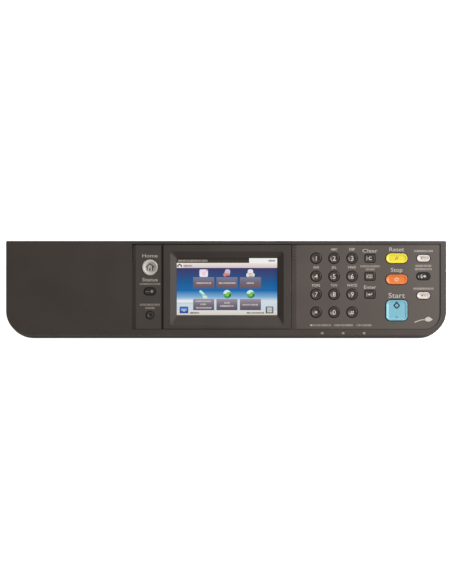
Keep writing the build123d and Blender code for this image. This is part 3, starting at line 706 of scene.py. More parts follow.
@dataclass
class RowTree:
    """A Geometry Nodes tree that lays small rounded bars on a grid, their widths uneven."""

    name: str
    inputs: dict[str, str] = field(default_factory=dict)

    def __post_init__(self) -> None:
        """Builds the tree."""
        self.tree = bpy.data.node_groups.new(self.name, "GeometryNodeTree")
        for label, kind in (
            ("Columns", "NodeSocketInt"),
            ("Rows", "NodeSocketInt"),
            ("Span X", "NodeSocketFloat"),
            ("Span Y", "NodeSocketFloat"),
            ("Bar Width", "NodeSocketFloat"),
            ("Bar Depth", "NodeSocketFloat"),
            ("Bar Height", "NodeSocketFloat"),
            ("Corner", "NodeSocketFloat"),
            ("Narrowest", "NodeSocketFloat"),
            ("Seed", "NodeSocketInt"),
            ("Centre", "NodeSocketVector"),
            ("Material", "NodeSocketMaterial"),
        ):
            made = self.tree.interface.new_socket(name=label, in_out="INPUT", socket_type=kind)
            self.inputs[label] = made.identifier
        self.tree.interface.new_socket(
            name="Geometry", in_out="OUTPUT", socket_type="NodeSocketGeometry"
        )
        given = self.tree.nodes.new("NodeGroupInput")
        grid = self._add(
            "GeometryNodeMeshGrid",
            {
                "Vertices X": given.outputs["Columns"],
                "Vertices Y": given.outputs["Rows"],
                "Size X": given.outputs["Span X"],
                "Size Y": given.outputs["Span Y"],
            },
        )
        moved = self._add(
            "GeometryNodeTransform",
            {"Geometry": grid.outputs["Mesh"], "Translation": given.outputs["Centre"]},
        )
        outline = self._add(
            "GeometryNodeCurvePrimitiveQuadrilateral",
            {"Width": given.outputs["Bar Width"], "Height": given.outputs["Bar Depth"]},
        )
        soft = self.tree.nodes.new("GeometryNodeFilletCurve")
        soft.mode = "POLY"
        self.tree.links.new(outline.outputs["Curve"], soft.inputs["Curve"])
        soft.inputs["Count"].default_value = 4
        self.tree.links.new(given.outputs["Corner"], soft.inputs["Radius"])
        face = self._add("GeometryNodeFillCurve", {"Curve": soft.outputs["Curve"]})
        thick = self._add(
            "GeometryNodeExtrudeMesh",
            {"Mesh": face.outputs["Mesh"], "Offset Scale": given.outputs["Bar Height"]},
        )
        uneven = self.tree.nodes.new("FunctionNodeRandomValue")
        uneven.data_type = "FLOAT_VECTOR"
        low = self._add("ShaderNodeCombineXYZ", {"X": given.outputs["Narrowest"]})
        low.inputs["Y"].default_value = low.inputs["Z"].default_value = 1.0
        self.tree.links.new(low.outputs[0], uneven.inputs["Min"])
        uneven.inputs["Max"].default_value = (1.0, 1.0, 1.0)
        self.tree.links.new(given.outputs["Seed"], uneven.inputs["Seed"])
        placed = self._add(
            "GeometryNodeInstanceOnPoints",
            {
                "Points": moved.outputs["Geometry"],
                "Instance": thick.outputs["Mesh"],
                "Scale": uneven.outputs["Value"],
            },
        )
        real = self._add("GeometryNodeRealizeInstances", {"Geometry": placed.outputs["Instances"]})
        dressed = self._add(
            "GeometryNodeSetMaterial",
            {"Geometry": real.outputs["Geometry"], "Material": given.outputs["Material"]},
        )
        result = self.tree.nodes.new("NodeGroupOutput")
        self.tree.links.new(dressed.outputs["Geometry"], result.inputs["Geometry"])

    def _add(self, kind: str, links: dict[str, bpy.types.NodeSocket]) -> bpy.types.Node:
        """Adds a node and links its inputs."""
        made = self.tree.nodes.new(kind)
        for key, value in links.items():
            self.tree.links.new(value, made.inputs[key])
        return made

    def line(
        self,
        place: Point,
        width: float,
        depth: float,
        seed: int,
        material: bpy.types.Material,
        step: float = 1.25,
        bar: float = 1.2,
        thickness: float = 0.01,
    ) -> bpy.types.Mesh:
        """Lays one line of unreadable print. Its sizes are in millimetres.

        Args:
            place: The line's middle in the frame.
            width: The line's width.
            depth: How tall its bars are.
            seed: Picks the bars' widths.
            material: Their finish.
            step: From one bar to the next.
            bar: The widest bar.
            thickness: How thick the bars are.

        Returns:
            A plain mesh of the bars.
        """
        return self.lay(
            Columns=max(2, round(width / step)),
            Rows=1,
            Span_X=(width - step) * MM,
            Span_Y=0.0,
            Bar_Width=bar * MM,
            Bar_Depth=depth * MM,
            Bar_Height=thickness * MM,
            Corner=0.2 * MM,
            Narrowest=0.5,
            Seed=seed,
            Centre=(*place, 0.0),
            Material=material,
        )

    def lay(self, **values: object) -> bpy.types.Mesh:
        """Runs the tree once.

        Args:
            values: The tree's inputs, named with underscores for spaces.

        Returns:
            A plain mesh of the bars.
        """
        holder = bpy.data.objects.new("bars", bpy.data.meshes.new("bars"))
        bpy.context.scene.collection.objects.link(holder)
        modifier = holder.modifiers.new("bars", "NODES")
        modifier.node_group = self.tree
        for key, value in values.items():
            modifier[self.inputs[key.replace("_", " ")]] = value
        bpy.context.view_layer.update()
        ready = holder.evaluated_get(bpy.context.evaluated_depsgraph_get())
        mesh = bpy.data.meshes.new_from_object(ready)
        holder.modifiers.clear()
        bpy.data.objects.remove(holder)
        return mesh


def merged(
    meshes: Iterable[bpy.types.Mesh], material: bpy.types.Material, lift: float
) -> bpy.types.Mesh:
    """Joins flat meshes into one.

    Args:
        meshes: The meshes to join.
        material: The finish of the result.
        lift: How far the result is raised.

    Returns:
        One mesh with one material.
    """
    whole = bmesh.new()
    for mesh in meshes:
        whole.from_mesh(mesh)
        bpy.data.meshes.remove(mesh)
    bmesh.ops.translate(whole, verts=whole.verts, vec=(0, 0, lift))
    for face in whole.faces:
        face.material_index = 0
    result = bpy.data.meshes.new("merged")
    whole.to_mesh(result)
    whole.free()
    result.materials.append(material)
    return result


# ---------------------------------------------------------------- sub-assemblies


@dataclass
class Housing:
    """The two covers, the plates and the bezel, and the finishes they wear."""

    finishes: Finishes
    nodes: dict[str, bpy.types.Object]
    worn: tuple[tuple[object, str], ...] = (
        (COVER_GREY, "upper_cover"),
        (TRAY_GREY, "lower_cover"),
        (HOME_GREY, "home_key_plate"),
        (PLATE_GREY, "keypad_plate"),
        (BEZEL_GREY, "lcd_bezel"),
        (FOAM, "lcd_gasket"),
        (TOUCH_GLASS, "touch_screen"),
        (CELL_DARK, "lcd_panel"),
        (DIFFUSER, "lcd_backlight"),
        (STEEL, "lcd_frame lcd_bracket"),
        (BOARD, "main_board home_key_board keypad_board"),
        (LED_RESIN, "indicator_leds"),
        (SMOKED_LENS, "status_light_guide"),
        (START_LENS, "start_key_lens"),
        (BLACK_MOULDING, "buzzer processor memory_chip"),
        (ALUMINIUM, "capacitors"),
        (NYLON, "harness_socket ribbon_sockets"),
        (GOLD, "socket_contacts"),
        (CABLE_FILM, "home_cable keypad_cable screen_cable"),
        (SCREW_STEEL, "cover_screws key_board_screws bracket_screws board_screws"),
    )

    def dress(self) -> None:
        """Gives each CAD node its finish."""
        for finish, names in self.worn:
            for name in names.split():
                dress_node(self.nodes[name], self.finishes.get(finish))


def dress_node(node: bpy.types.Object, material: bpy.types.Material) -> None:
    """Puts a material in every slot of a CAD node."""
    if not node.material_slots:
        node.data.materials.append(material)
    for slot in node.material_slots:
        slot.material = material


@dataclass
class KeyPrint:
    """What is printed on one cap: words, or outlines in millimetres about the cap's middle."""

    words: str = ""
    height: float = 5.0 * MM
    ink: Ink = INK_WHITE
    outlines: list[Outline] = field(default_factory=list)


def star() -> list[Outline]:
    """A six armed star."""
    turns = [math.radians(60 * turn + 90) for turn in range(3)]
    tips = [(1.6 * math.cos(a), 1.6 * math.sin(a)) for a in turns]
    return strokes([((-x, -y), (x, y)) for x, y in tips], 0.6)


def book() -> list[Outline]:
    """A small open book."""
    w, h = 2.1, 1.45
    lines = [((-w, y), (w, y)) for y in (-h, h)] + [((x, -h), (x, h)) for x in (-w, w, 0.0)]
    words = ((-0.7, -0.25, 0.3), (0.25, 0.7, 0.3), (0.25, 0.7, -0.3))
    lines += [((a * w, y * h), (b * w, y * h)) for a, b, y in words]
    return strokes(lines, 0.45)


def enter() -> list[Outline]:
    """A return arrow."""
    low = -0.3
    head = [(-2.0, low), (-0.4, low - 1.3), (-0.4, low + 1.3)]
    return [head, *strokes([((-0.5, low), (2.0, low)), ((1.65, low), (1.65, 1.4))], 0.7)]


def slash() -> list[Outline]:
    """Two slanted strokes."""
    return strokes([((x - 0.7, -1.6), (x + 0.7, 1.6)) for x in (-0.7, 0.7)], 0.8)


def stop_mark() -> list[Outline]:
    """A round mark with an upright bar through its gap."""
    turns = [math.radians(115 + 31 * step) for step in range(11)]
    dots = [(1.7 * math.cos(a), 1.5 * math.sin(a)) for a in turns]
    return [*strokes(zip(dots, dots[1:]), 0.8), stroke((0.0, 0.1), (0.0, 2.0), 0.7)]


def diamond(y: float, reach: float) -> Outline:
    """A square on its corner, above a cap's middle."""
    return [(reach, y), (0.0, y + reach), (-reach, y), (0.0, y - reach)]


def start_mark(y: float) -> list[Outline]:
    """A thick diamond frame with a peak."""
    tips = diamond(y, 2.7)
    frame = strokes(zip(tips, tips[1:] + tips[:1]), 1.5)
    return [*frame, [(-1.2, y + 2.5), (1.2, y + 2.5), (0.0, y + 4.2)]]


def moon() -> list[Outline]:
    """A crescent with two short bars beside it."""
    turns = [math.radians(a) + 0.9 for a in range(-70, 251, 20)]
    outer = [(1.25 * math.cos(a) - 1.1, 1.25 * math.sin(a) + 0.1) for a in turns]
    inner = [(0.95 * math.cos(a) - 0.5, 0.95 * math.sin(a) + 0.5) for a in reversed(turns[1:-1])]
    return [outer + inner, *strokes([((1.1, y), (2.7, y)) for y in (-0.5, 0.7)], 0.6)]


def leave() -> list[Outline]:
    """An arrow that leaves a frame."""
    w, h, inner = 2.1, 1.2, -0.6
    frame = [((-w, -h), (-w, h)), ((-w, h), (inner, h)), ((-w, -h), (inner, -h))]
    head = [(2.9, 0.0), (1.0, 1.4), (1.0, -1.4)]
    return [*strokes(frame, 0.6), stroke((inner, 0.0), (1.2, 0.0), 0.8), head]


def wave() -> list[Outline]:
    """A quiet mark: a small speaker and two bars."""
    cone = [(-2.2, -0.5), (-1.4, -0.5), (-0.3, -1.3), (-0.3, 1.3), (-1.4, 0.5), (-2.2, 0.5)]
    return [cone, *strokes([((x, -0.8), (x, 0.8)) for x in (0.9, 2.1)], 0.55)]


def house() -> list[Outline]:
    """A house in outline with its door."""
    w, h, eave, peak = 2.5, 3.2, 3.8, 3.6
    lines = [((-eave, 0.1), (0.2, peak)), ((-0.2, peak), (eave, 0.1))]
    lines += [((x, 0.6), (x, -h)) for x in (-w, w)]
    return [*strokes(lines, 0.95), stroke((0.0, -h), (0.0, -0.2), 1.2)]


def house_wall() -> list[Outline]:
    """The pale wall inside the house's outline."""
    w, low, eaves = 2.4, -3.2, 0.8
    return [[(-w, low), (w, low), (w, eaves), (0.0, 3.3), (-w, eaves)]]


def status_mark() -> list[Outline]:
    """A disc with a short line beside it."""
    return [ring(2.0, 0.1, 1.5, 20, 0.9), stroke((-2.9, -0.4), (-0.6, -0.1), 0.4)]


def flat(
    outlines: Iterable[Sequence[Point]], material: bpy.types.Material, cuts: int = 0
) -> bpy.types.Mesh:
    """Fills outlines as faces that look up.

    Args:
        outlines: The corners of each face in order.
        material: Their finish.
        cuts: How often each edge is cut, so that the faces can be draped.

    Returns:
        A mesh at height 0.
    """
    sheet = bmesh.new()
    for outline in outlines:
        sheet.faces.new([sheet.verts.new((px, py, 0)) for px, py in outline])
    sheet.normal_update()
    bmesh.ops.reverse_faces(sheet, faces=[face for face in sheet.faces if face.normal.z < 0])
    if cuts:
        bmesh.ops.triangulate(sheet, faces=sheet.faces)
        bmesh.ops.subdivide_edges(sheet, edges=sheet.edges, cuts=cuts, use_grid_fill=True)
    mesh = bpy.data.meshes.new("flat")
    sheet.to_mesh(mesh)
    sheet.free()
    mesh.materials.append(material)
    return mesh


@dataclass
class Keys:
    """The key caps, their finishes and their prints."""

    finishes: Finishes
    nodes: dict[str, bpy.types.Object]
    flange: float = 1.2 * MM
    dish_rim: float = 1.2 * MM
    dish_depth: float = 0.8 * MM
    dish_slope: float = 0.22
    basin_rim: float = 0.9 * MM
    basin_depth: float = 0.5 * MM
    basin_slope: float = 1.6 * MM
    start_height: float = 4.6
    lift: float = 0.03 * MM
    coloured: dict[str, KeyPlastic] = field(
        default_factory=lambda: {
            "key_reset": KEY_YELLOW,
            "key_stop": KEY_ORANGE,
            "key_start": KEY_BLUE,
            "key_energy_saver": KEY_WHITE,
            "key_quiet_mode": KEY_WHITE,
            "key_log_out": KEY_BLACK,
            "key_status": KEY_STATUS,
        }
    )

    def prints(self) -> dict[str, tuple[KeyPrint, ...]]:
        """The prints of each cap, the lowest first."""
        digits = {f"key_{i}": (KeyPrint(str(i), 4.6 * MM),) for i in range(10)}
        start = self.start_height
        return digits | {
            "key_star": (KeyPrint(outlines=star()),),
            "key_hash": (KeyPrint("#", 4.2 * MM),),
            "key_clear": (KeyPrint("C", 3.3 * MM),),
            "key_search": (KeyPrint(outlines=book(), ink=INK_SOFT),),
            "key_enter": (KeyPrint(outlines=enter()),),
            "key_reset": (KeyPrint(outlines=slash(), ink=INK_OLIVE),),
            "key_stop": (KeyPrint(outlines=stop_mark(), ink=INK_PALE),),
            "key_start": (
                KeyPrint(outlines=start_mark(start), ink=INK_DARK),
                KeyPrint(outlines=[diamond(start, 1.5)], ink=INK_SKY),
                KeyPrint(outlines=[diamond(start, 0.7)], ink=INK_DARK),
            ),
            "key_energy_saver": (KeyPrint(outlines=moon(), ink=INK_WARM),),
            "key_log_out": (KeyPrint(outlines=leave()),),
            "key_quiet_mode": (KeyPrint(outlines=wave(), ink=INK_WARM),),
            "key_home": (
                KeyPrint(outlines=house_wall(), ink=INK_PEARL),
                KeyPrint(outlines=house(), ink=INK_HOUSE),
            ),
            "key_status": (KeyPrint(outlines=status_mark(), ink=INK_DIM),),
            "key_menu": (KeyPrint(outlines=[ring(0.5, 0.4, 0.8, 20)], ink=INK_BLACK),),
        }

    def surface(self, name: str) -> Callable[[float, float], float]:
        """The height of a cap's top at a point.

        Args:
            name: The cap's node.

        Returns:
            A function of X and Y that gives the top's height with the print's lift.
        """
        low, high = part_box(name)
        x0, y0 = middle_of(name)
        wide, deep = (high.x - low.x) / 2 - self.flange, (high.y - low.y) / 2 - self.flange
        dished = abs(wide - deep) < 0.05 * MM
        edge = wide - self.dish_rim
        deepest = min(self.dish_depth, self.dish_slope * edge)
        ball = (edge**2 + deepest**2) / (2 * deepest)

        def height(x: float, y: float) -> float:
            """The height of the dish or of the basin."""
            if dished:
                away = min(math.hypot(x - x0, y - y0), edge)
                sunk = deepest - ball + math.sqrt(ball**2 - away**2)
            else:
                inside = min(wide - abs(x - x0), deep - abs(y - y0)) - self.basin_rim
                sunk = self.basin_depth * min(1.0, max(0.0, inside / self.basin_slope))
            return high.z - sunk + self.lift

        return height

    def build(self) -> None:
        """Dresses the caps and lays each print on its cap."""
        for name, marks in self.prints().items():
            x, y = middle_of(name)
            finish = self.coloured.get(name, KEY_GREY)
            if name == "key_home":
                finish = SilverCap("key_silver", (x, y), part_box(name)[1].x - x - self.flange)
            dress_node(self.nodes[name], self.finishes.get(finish))
            top = self.surface(name)
            for layer, mark in enumerate(marks):
                ink = self.finishes.get(mark.ink)
                if mark.words:
                    mesh = lettering(mark.words, x + 0.2 * MM, y, mark.height, weight=0.012)
                    mesh.materials.clear()
                    mesh.materials.append(ink)
                else:
                    mesh = flat(placed(mark.outlines, (x, y)), ink, 5)
                for v in mesh.vertices:
                    v.co.z = top(v.co.x, v.co.y) + layer * self.lift
                tail = f"_{layer}" if layer else ""
                add_piece(name.replace("key_", "print_") + tail, mesh, name)


@dataclass
class Legends:
    """The words, bars and marks printed on the plates. Their sizes are in millimetres."""

    finishes: Finishes
    rows: RowTree
    lift: float = 0.03 * MM
    foot_line: float = -12.3
    plate_words: tuple[tuple[str, str, float, float, float], ...] = (
        ("Clear", "key_clear", 7.2, 3.4, 14.3),
        ("Enter", "key_enter", 6.8, 3.3, 11.4),
        ("Reset", "key_reset", 8.5, 3.8, 13.9),
        ("Stop", "key_stop", 9.2, 3.9, 11.1),
        ("Start", "key_start", 14.3, 4.8, 15.6),
    )
    home_words: tuple[tuple[str, str, float, float, float], ...] = (
        ("Home", "key_home", 11.1, 3.4, 14.6),
        ("Status", "key_status", 11.2, 3.4, 14.6),
    )

    def words(
        self, rows: Iterable[tuple[str, str, float, float, float]], weight: float
    ) -> list[bpy.types.Mesh]:
        """Sets words over keys.

        Args:
            rows: Each word, its key, its height above the key's middle, its capitals' height
                and its width.
            weight: How far the strokes are fattened.

        Returns:
            A flat mesh for each word.
        """
        made = []
        for text, key, up, height, width in rows:
            x, y = middle_of(key)
            made.append(lettering(text, x, y + up * MM, height * MM, width * MM, weight))
        return made

    def bars(
        self, rows: Iterable[tuple[str, float, float, float, int, float]]
    ) -> list[bpy.types.Mesh]:
        """Lays lines of small print near keys.

        Args:
            rows: Each line's key, its shift along X and Y, its width, seed and height.

        Returns:
            A mesh for each line.
        """
        dim = self.finishes.get(INK_DIM)
        made = []
        for key, across, up, width, seed, tall in rows:
            x, y = middle_of(key)
            made.append(self.rows.line((x + across * MM, y + up * MM), width, tall, seed, dim))
        return made

    def leaf(self) -> list[Outline]:
        """A plain leaf on a long curved stalk."""
        turns = [math.radians(15 * i) for i in range(13)]
        blade = [(8.2 * t / math.pi, 2.6 * math.sin(t)) for t in turns]
        blade += [(8.2 * t / math.pi, -1.8 * math.sin(t)) for t in reversed(turns[1:-1])]
        path = [(1.6 * i - 9.0, 2.6 * math.sin(i / 6 * math.pi / 2) - 2.6) for i in range(7)]
        return [blade, *strokes(zip(path, path[1:]), 0.8)]

    def build(self) -> None:
        """Makes the legends of both plates."""
        white, dim = self.finishes.get(INK_SOFT), self.finishes.get(INK_DIM)
        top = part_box("keypad_plate")[1].z + self.lift
        words = self.words(self.plate_words, 0.004)
        x, y = middle_of("key_energy_saver")
        words.append(flat(placed(self.leaf(), (x + 0.6 * MM, y - 58.0 * MM)), white))
        spot = rounded(-21.6, self.foot_line, 1.7, 1.7, 0.4)
        words.append(flat(placed([spot], middle_of("key_0")), white))
        add_piece("keypad_words", merged(words, white, top), HOUSING)
        groups = []
        for digit, text in enumerate(("ABC", "DEF", "GHI", "JKL", "MNO", "PQRS", "TUV", "WXYZ"), 2):
            x, y = middle_of(f"key_{digit}")
            groups.append(lettering(text, x, y + 8.5 * MM, 2.3 * MM, weight=0.02))
        add_piece("keypad_letters", merged(groups, white, top), HOUSING)
        lines = self.bars(
            (
                ("key_search", 0.0, 9.4, 18.7, 3, 2.0),
                ("key_search", 0.0, 6.5, 8.8, 5, 2.0),
                ("key_energy_saver", 0.0, 6.8, 18.0, 7, 2.0),
                ("key_log_out", 0.0, 9.8, 15.1, 11, 2.0),
                ("key_log_out", 0.0, 6.7, 16.0, 13, 2.0),
                ("key_quiet_mode", 0.0, 6.5, 19.2, 17, 2.0),
                ("key_0", -11.6, self.foot_line, 17.6, 19, 1.9),
                ("key_0", 8.9, self.foot_line, 18.4, 23, 1.9),
                ("key_0", 28.3, self.foot_line, 14.6, 29, 1.9),
            )
        )
        add_piece("keypad_small_print", merged(lines, dim, top), HOUSING)
        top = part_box("home_key_plate")[1].z + self.lift
        words = self.words(self.home_words, 0.012)
        add_piece("home_words", merged(words, white, top), HOUSING)
        lines = self.bars(
            (
                ("key_status", 0.0, 7.0, 19.6, 31, 1.8),
                ("key_menu", 0.0, 9.8, 19.2, 37, 2.0),
                ("key_menu", 0.0, 6.7, 9.2, 41, 2.0),
            )
        )
        add_piece("home_small_print", merged(lines, dim, top), HOUSING)


def lit(red: int, green: int, blue: int) -> Colour:
    """A colour of the lit picture from display values of 0 to 255."""
    return tuple(((v / 255 + 0.055) / 1.055) ** 2.4 for v in (red, green, blue))


@dataclass
class ScreenPicture:
    """The lit picture that the display cell shows, of this panel's own plain design.

    Places are in millimetres from the picture's centre.
    """

    finishes: Finishes
    rows: RowTree
    width: float = 95.0
    depth: float = 53.8
    columns: tuple[float, float, float] = (-22.0, 0.0, 22.2)
    tile_width: float = 19.9

    def __post_init__(self) -> None:
        """Finds the picture's centre and height from the display's nodes."""
        self.x, self.y = middle_of("lcd_panel")
        self.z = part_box("lcd_panel")[1].z + 0.04 * MM
        self.step = 0.02 * MM
        self.glows: dict[Colour, Glow] = {}

    def colour(self, tone: Colour) -> Glow:
        """The plain glow of a colour."""
        return self.glows.setdefault(tone, Glow(f"glow_{len(self.glows)}", ((0.0, tone),)))

    def fade(self, name: str, low: float, high: float, *tones: Colour) -> Glow:
        """A glow that runs evenly through colours from one height up to another."""
        stops = tuple((i / (len(tones) - 1), tone) for i, tone in enumerate(tones))
        return Glow(name, stops, self.y + low * MM, self.y + high * MM)

    def shape(
        self, sheet: Sheet, name: str, outlines: Iterable[Outline], finish: "Glow | Colour"
    ) -> None:
        """Lays outlines of one finish on the picture.

        Args:
            sheet: The sheet that they lie on.
            name: The piece's name.
            outlines: Their corners.
            finish: Their glow, or their plain colour.
        """
        glow = finish if isinstance(finish, Glow) else self.colour(finish)
        mesh = flat(placed(outlines, (self.x, self.y)), self.finishes.get(glow))
        for v in mesh.vertices:
            v.co.z = self.z + self.step * sheet.value
        add_piece("screen_" + name, mesh, HOUSING)

    def text(
        self,
        sheet: Sheet,
        name: str,
        lines: Iterable[tuple[float, float, float]],
        tone: Colour,
        tall: float,
    ) -> None:
        """Lays lines of small unreadable print on the picture.

        Args:
            sheet: The sheet that they lie on.
            name: The piece's name.
            lines: Each line's centre and width.
            tone: Their colour.
            tall: Their height.
        """
        material = self.finishes.get(self.colour(tone))
        meshes = [
            self.rows.line(
                (self.x + px * MM, self.y + py * MM), w, tall, seed, material, 1.15, 1.05, 0.005
            )
            for seed, (px, py, w) in enumerate(lines)
        ]
        lift = self.z + self.step * sheet.value
        add_piece("screen_" + name, merged(meshes, material, lift), HOUSING)

    def build(self) -> None:
        """Makes the picture from back to front."""
        self.backdrop()
        self.tiles()
        self.icons()
        self.buttons()

    def backdrop(self) -> None:
        """The sky, the header and the strips."""
        w, d = self.width, self.depth
        haze, horizon, high_haze = lit(200, 220, 230), lit(220, 230, 240), lit(130, 180, 220)
        day, evening, dusk = lit(20, 110, 180), lit(30, 90, 150), lit(60, 60, 110)
        sky = Glow(
            "glow_sky",
            (
                (0.0, haze),
                (0.25, horizon),
                (0.32, high_haze),
                (0.43, day),
                (0.6, evening),
                (0.8, dusk),
            ),
            self.y - d / 2 * MM,
            self.y + d / 2 * MM,
        )
        self.shape(Sheet.SKY, "sky", [rounded(0, 0, w, d)], sky)
        cloud = self.fade(
            "glow_cloud", -16.0, -11.8, lit(176, 208, 220), lit(252, 248, 252), lit(214, 216, 238)
        )
        header = self.fade("glow_header", 22.4, 27.0, lit(66, 58, 50), lit(58, 51, 44))
        strip = self.fade(
            "glow_strip", 17.8, 22.6, lit(226, 208, 206), lit(234, 222, 220), lit(250, 238, 224)
        )
        foot = self.fade("glow_foot", -27.0, -22.7, lit(222, 213, 204), lit(236, 230, 224))
        roof = [((-47.1, 19.4), (-44.7, 21.4)), ((-44.9, 21.4), (-42.5, 19.4))]
        walls = [((x, 19.4), (x, 18.4)) for x in (-46.3, -43.3)]
        for row in (
            (Sheet.STRIP, "cloud", [rounded(-39.8, -13.9, 15.2, 4.2)], cloud),
            (Sheet.STRIP, "header", [rounded(-13.2, 24.7, 68.6, 4.5)], header),
            (Sheet.STRIP, "clock_box", [rounded(34.25, 24.6, 26.5, 4.7)], lit(252, 250, 247)),
            (Sheet.STRIP, "strip", [rounded(0, 20.15, w, 4.75)], strip),
            (Sheet.TILE, "strip_end", [rounded(-44.6, 20.0, 5.7, 4.4)], lit(252, 248, 236)),
            (Sheet.STRIP, "foot", [rounded(0, -24.8, w, 4.25)], foot),
            (Sheet.ICON, "small_house", strokes(roof + walls, 1.1), lit(74, 66, 48)),
        ):
            self.shape(*row)
        for row in (
            (Sheet.TILE, "header_text", [(-32.3, 24.5, 28.3)], lit(160, 152, 142), 2.0),
            (Sheet.ICON, "strip_text", [(-36.9, 19.7, 8.4)], lit(140, 124, 122), 1.5),
            (Sheet.TILE, "clock_text", [(42.4, 24.5, 6.4)], lit(128, 128, 130), 1.5),
            (
                Sheet.TILE,
                "foot_text",
                [(-30.6, -24.8, 8.8), (26.9, -24.8, 16.5)],
                lit(112, 104, 102),
                1.5,
            ),
        ):
            self.text(*row)

    def tiles(self) -> None:
        """Two rows of three grey tiles with greeked names."""
        rows = (
            ("upper", -1.45, 9.0, (lit(112, 90, 98), lit(118, 106, 118), lit(128, 130, 158))),
            ("lower", -22.2, -11.6, (lit(94, 82, 96), lit(122, 114, 126), lit(160, 152, 166))),
        )
        for name, low, high, tones in rows:
            glow = self.fade(f"glow_{name}_tiles", low, high, *tones)
            middle, depth = (low + high) / 2, high - low
            places = [rounded(x, middle, self.tile_width, depth) for x in self.columns]
            self.shape(Sheet.TILE, name + "_tiles", places, glow)
        lines = [(-22.0, 3.4, 13.9), (0.2, 3.4, 15.8), (22.0, 3.4, 6.8)]
        lines += [(-22.4, -13.8, 14.5), (-22.4, -16.7, 5.7), (-22.1, -20.0, 15.2)]
        lines += [(0.1, -15.3, 5.2), (-0.2, -18.3, 13.3), (21.8, -17.1, 15.2)]
        self.text(Sheet.ICON, "tile_text", lines, lit(206, 198, 198), 1.45)

    def icons(self) -> None:
        """A mark over each tile: a page, a slanted sheet, a printer, a pen and two globes."""
        left, middle, right = self.columns
        page = self.fade("glow_page", 9.2, 16.4, lit(252, 246, 252), lit(236, 230, 244))
        pale = self.colour(lit(240, 238, 242))
        globe = self.fade(
            "glow_globe", -11.0, -3.2, lit(52, 140, 62), lit(96, 188, 104), lit(128, 204, 156)
        )
        sheet_top = [(-1.3, 16.2), (1.0, 16.7), (3.1, 15.4), (2.9, 12.4), (-2.4, 13.2)]
        sheet_low = [(-2.4, 13.2), (2.9, 12.4), (2.3, 10.4), (0.2, 9.2), (-2.6, 9.6), (-3.8, 11.6)]
        sheet_fold = [(-2.2, 10.0), (0.2, 9.2), (2.3, 10.4), (0.6, 10.7)]
        printer = [rounded(right, 13.9, 5.2, 5.0, 1.9), rounded(right, 11.0, 7.9, 3.6, 1.3)]
        pen = stroke((left - 3.2, -4.4), (left + 1.4, -9.0), 3.0)
        pen_light = stroke((left - 3.8, -3.8), (left + 0.2, -7.2), 1.5)
        note = [
            (left - 1.2, -8.3), (left + 2.8, -8.6), (left + 3.8, -11.0), (left - 0.4, -11.2)
        ]
        crown = (
            (-3.7, -6.4), (-2.6, -4.2), (-0.4, -3.0), (1.8, -3.5), (3.0, -5.0), (0.6, -5.2), (-1.2, -6.8)
        )
        shade_side = ((2.4, -7.0), (4.0, -6.4), (3.6, -9.0), (1.4, -10.6))
        globes = (middle, right)
        caps = [[(x + a, b) for a, b in crown] for x in globes]
        shades = [[(x + a, b) for a, b in shade_side] for x in globes]
        icon, mark = Sheet.ICON, Sheet.MARK
        for row in (
            (icon, "page", [rounded(left, 12.8, 8.0, 7.1, 1.3)], page),
            (mark, "page_mark", [rounded(left + 0.3, 12.3, 3.4, 3.8, 0.6)], lit(248, 212, 222)),
            (mark, "page_corner", [rounded(left + 3.1, 15.5, 1.8, 1.4, 0.3)], lit(226, 152, 168)),
            (icon, "sheet_top", [sheet_top], lit(214, 196, 222)),
            (icon, "sheet_low", [sheet_low], lit(222, 140, 122)),
            (mark, "sheet_fold", [sheet_fold], lit(124, 62, 92)),
            (icon, "printer", printer, pale),
            (mark, "printer_band", [rounded(right, 12.0, 3.8, 1.5, 0.5)], lit(226, 190, 120)),
            (mark, "printer_slot", [rounded(right + 0.6, 9.9, 4.6, 0.8, 0.3)], lit(128, 134, 112)),
            (icon, "pen", [pen], lit(128, 208, 178)),
            (mark, "pen_light", [pen_light], lit(222, 244, 242)),
            (mark, "note", [note], lit(226, 238, 220)),
            (icon, "note_line", [rounded(left - 1.6, -10.6, 6.4, 0.9, 0.4)], lit(158, 200, 166)),
            (icon, "globes", [ring(x + 0.3, -7.1, 3.9, 28) for x in globes], globe),
            (mark, "globe_caps", caps, lit(226, 244, 238)),
            (mark, "globe_cores", [ring(x + 0.4, -7.6, 1.5, 20) for x in globes], lit(138, 206, 96)),
            (mark, "globe_shades", shades, lit(36, 112, 60)),
        ):
            self.shape(*row)

    def buttons(self) -> None:
        """A blue key at the left and a grey key with lines at the right."""
        blue = self.fade("glow_blue_key", -25.2, -18.8, lit(44, 74, 148), lit(72, 108, 180))
        grey = self.fade("glow_grey_key", -25.2, -18.8, lit(80, 84, 84), lit(106, 114, 124))
        chevron = [(-43.5, -20.8), (-38.0, -20.8), (-38.2, -22.4), (-40.7, -23.9), (-43.2, -22.4)]
        for row in (
            (Sheet.ICON, "blue_key", [rounded(-40.7, -22.0, 8.2, 6.4, 0.6)], blue),
            (Sheet.MARK, "blue_mark", [chevron], lit(160, 186, 240)),
            (Sheet.ICON, "grey_key", [rounded(40.3, -22.0, 7.3, 6.5, 0.6)], grey),
            (Sheet.MARK, "grey_mark", [rounded(40.4, -22.0, 4.9, 4.9, 0.3)], lit(176, 180, 176)),
        ):
            self.shape(*row)
        lines = [(40.4, y, 4.6) for y in (-20.4, -22.0, -23.6)]
        self.text(Sheet.LINE, "grey_lines", lines, lit(226, 228, 224), 0.8)


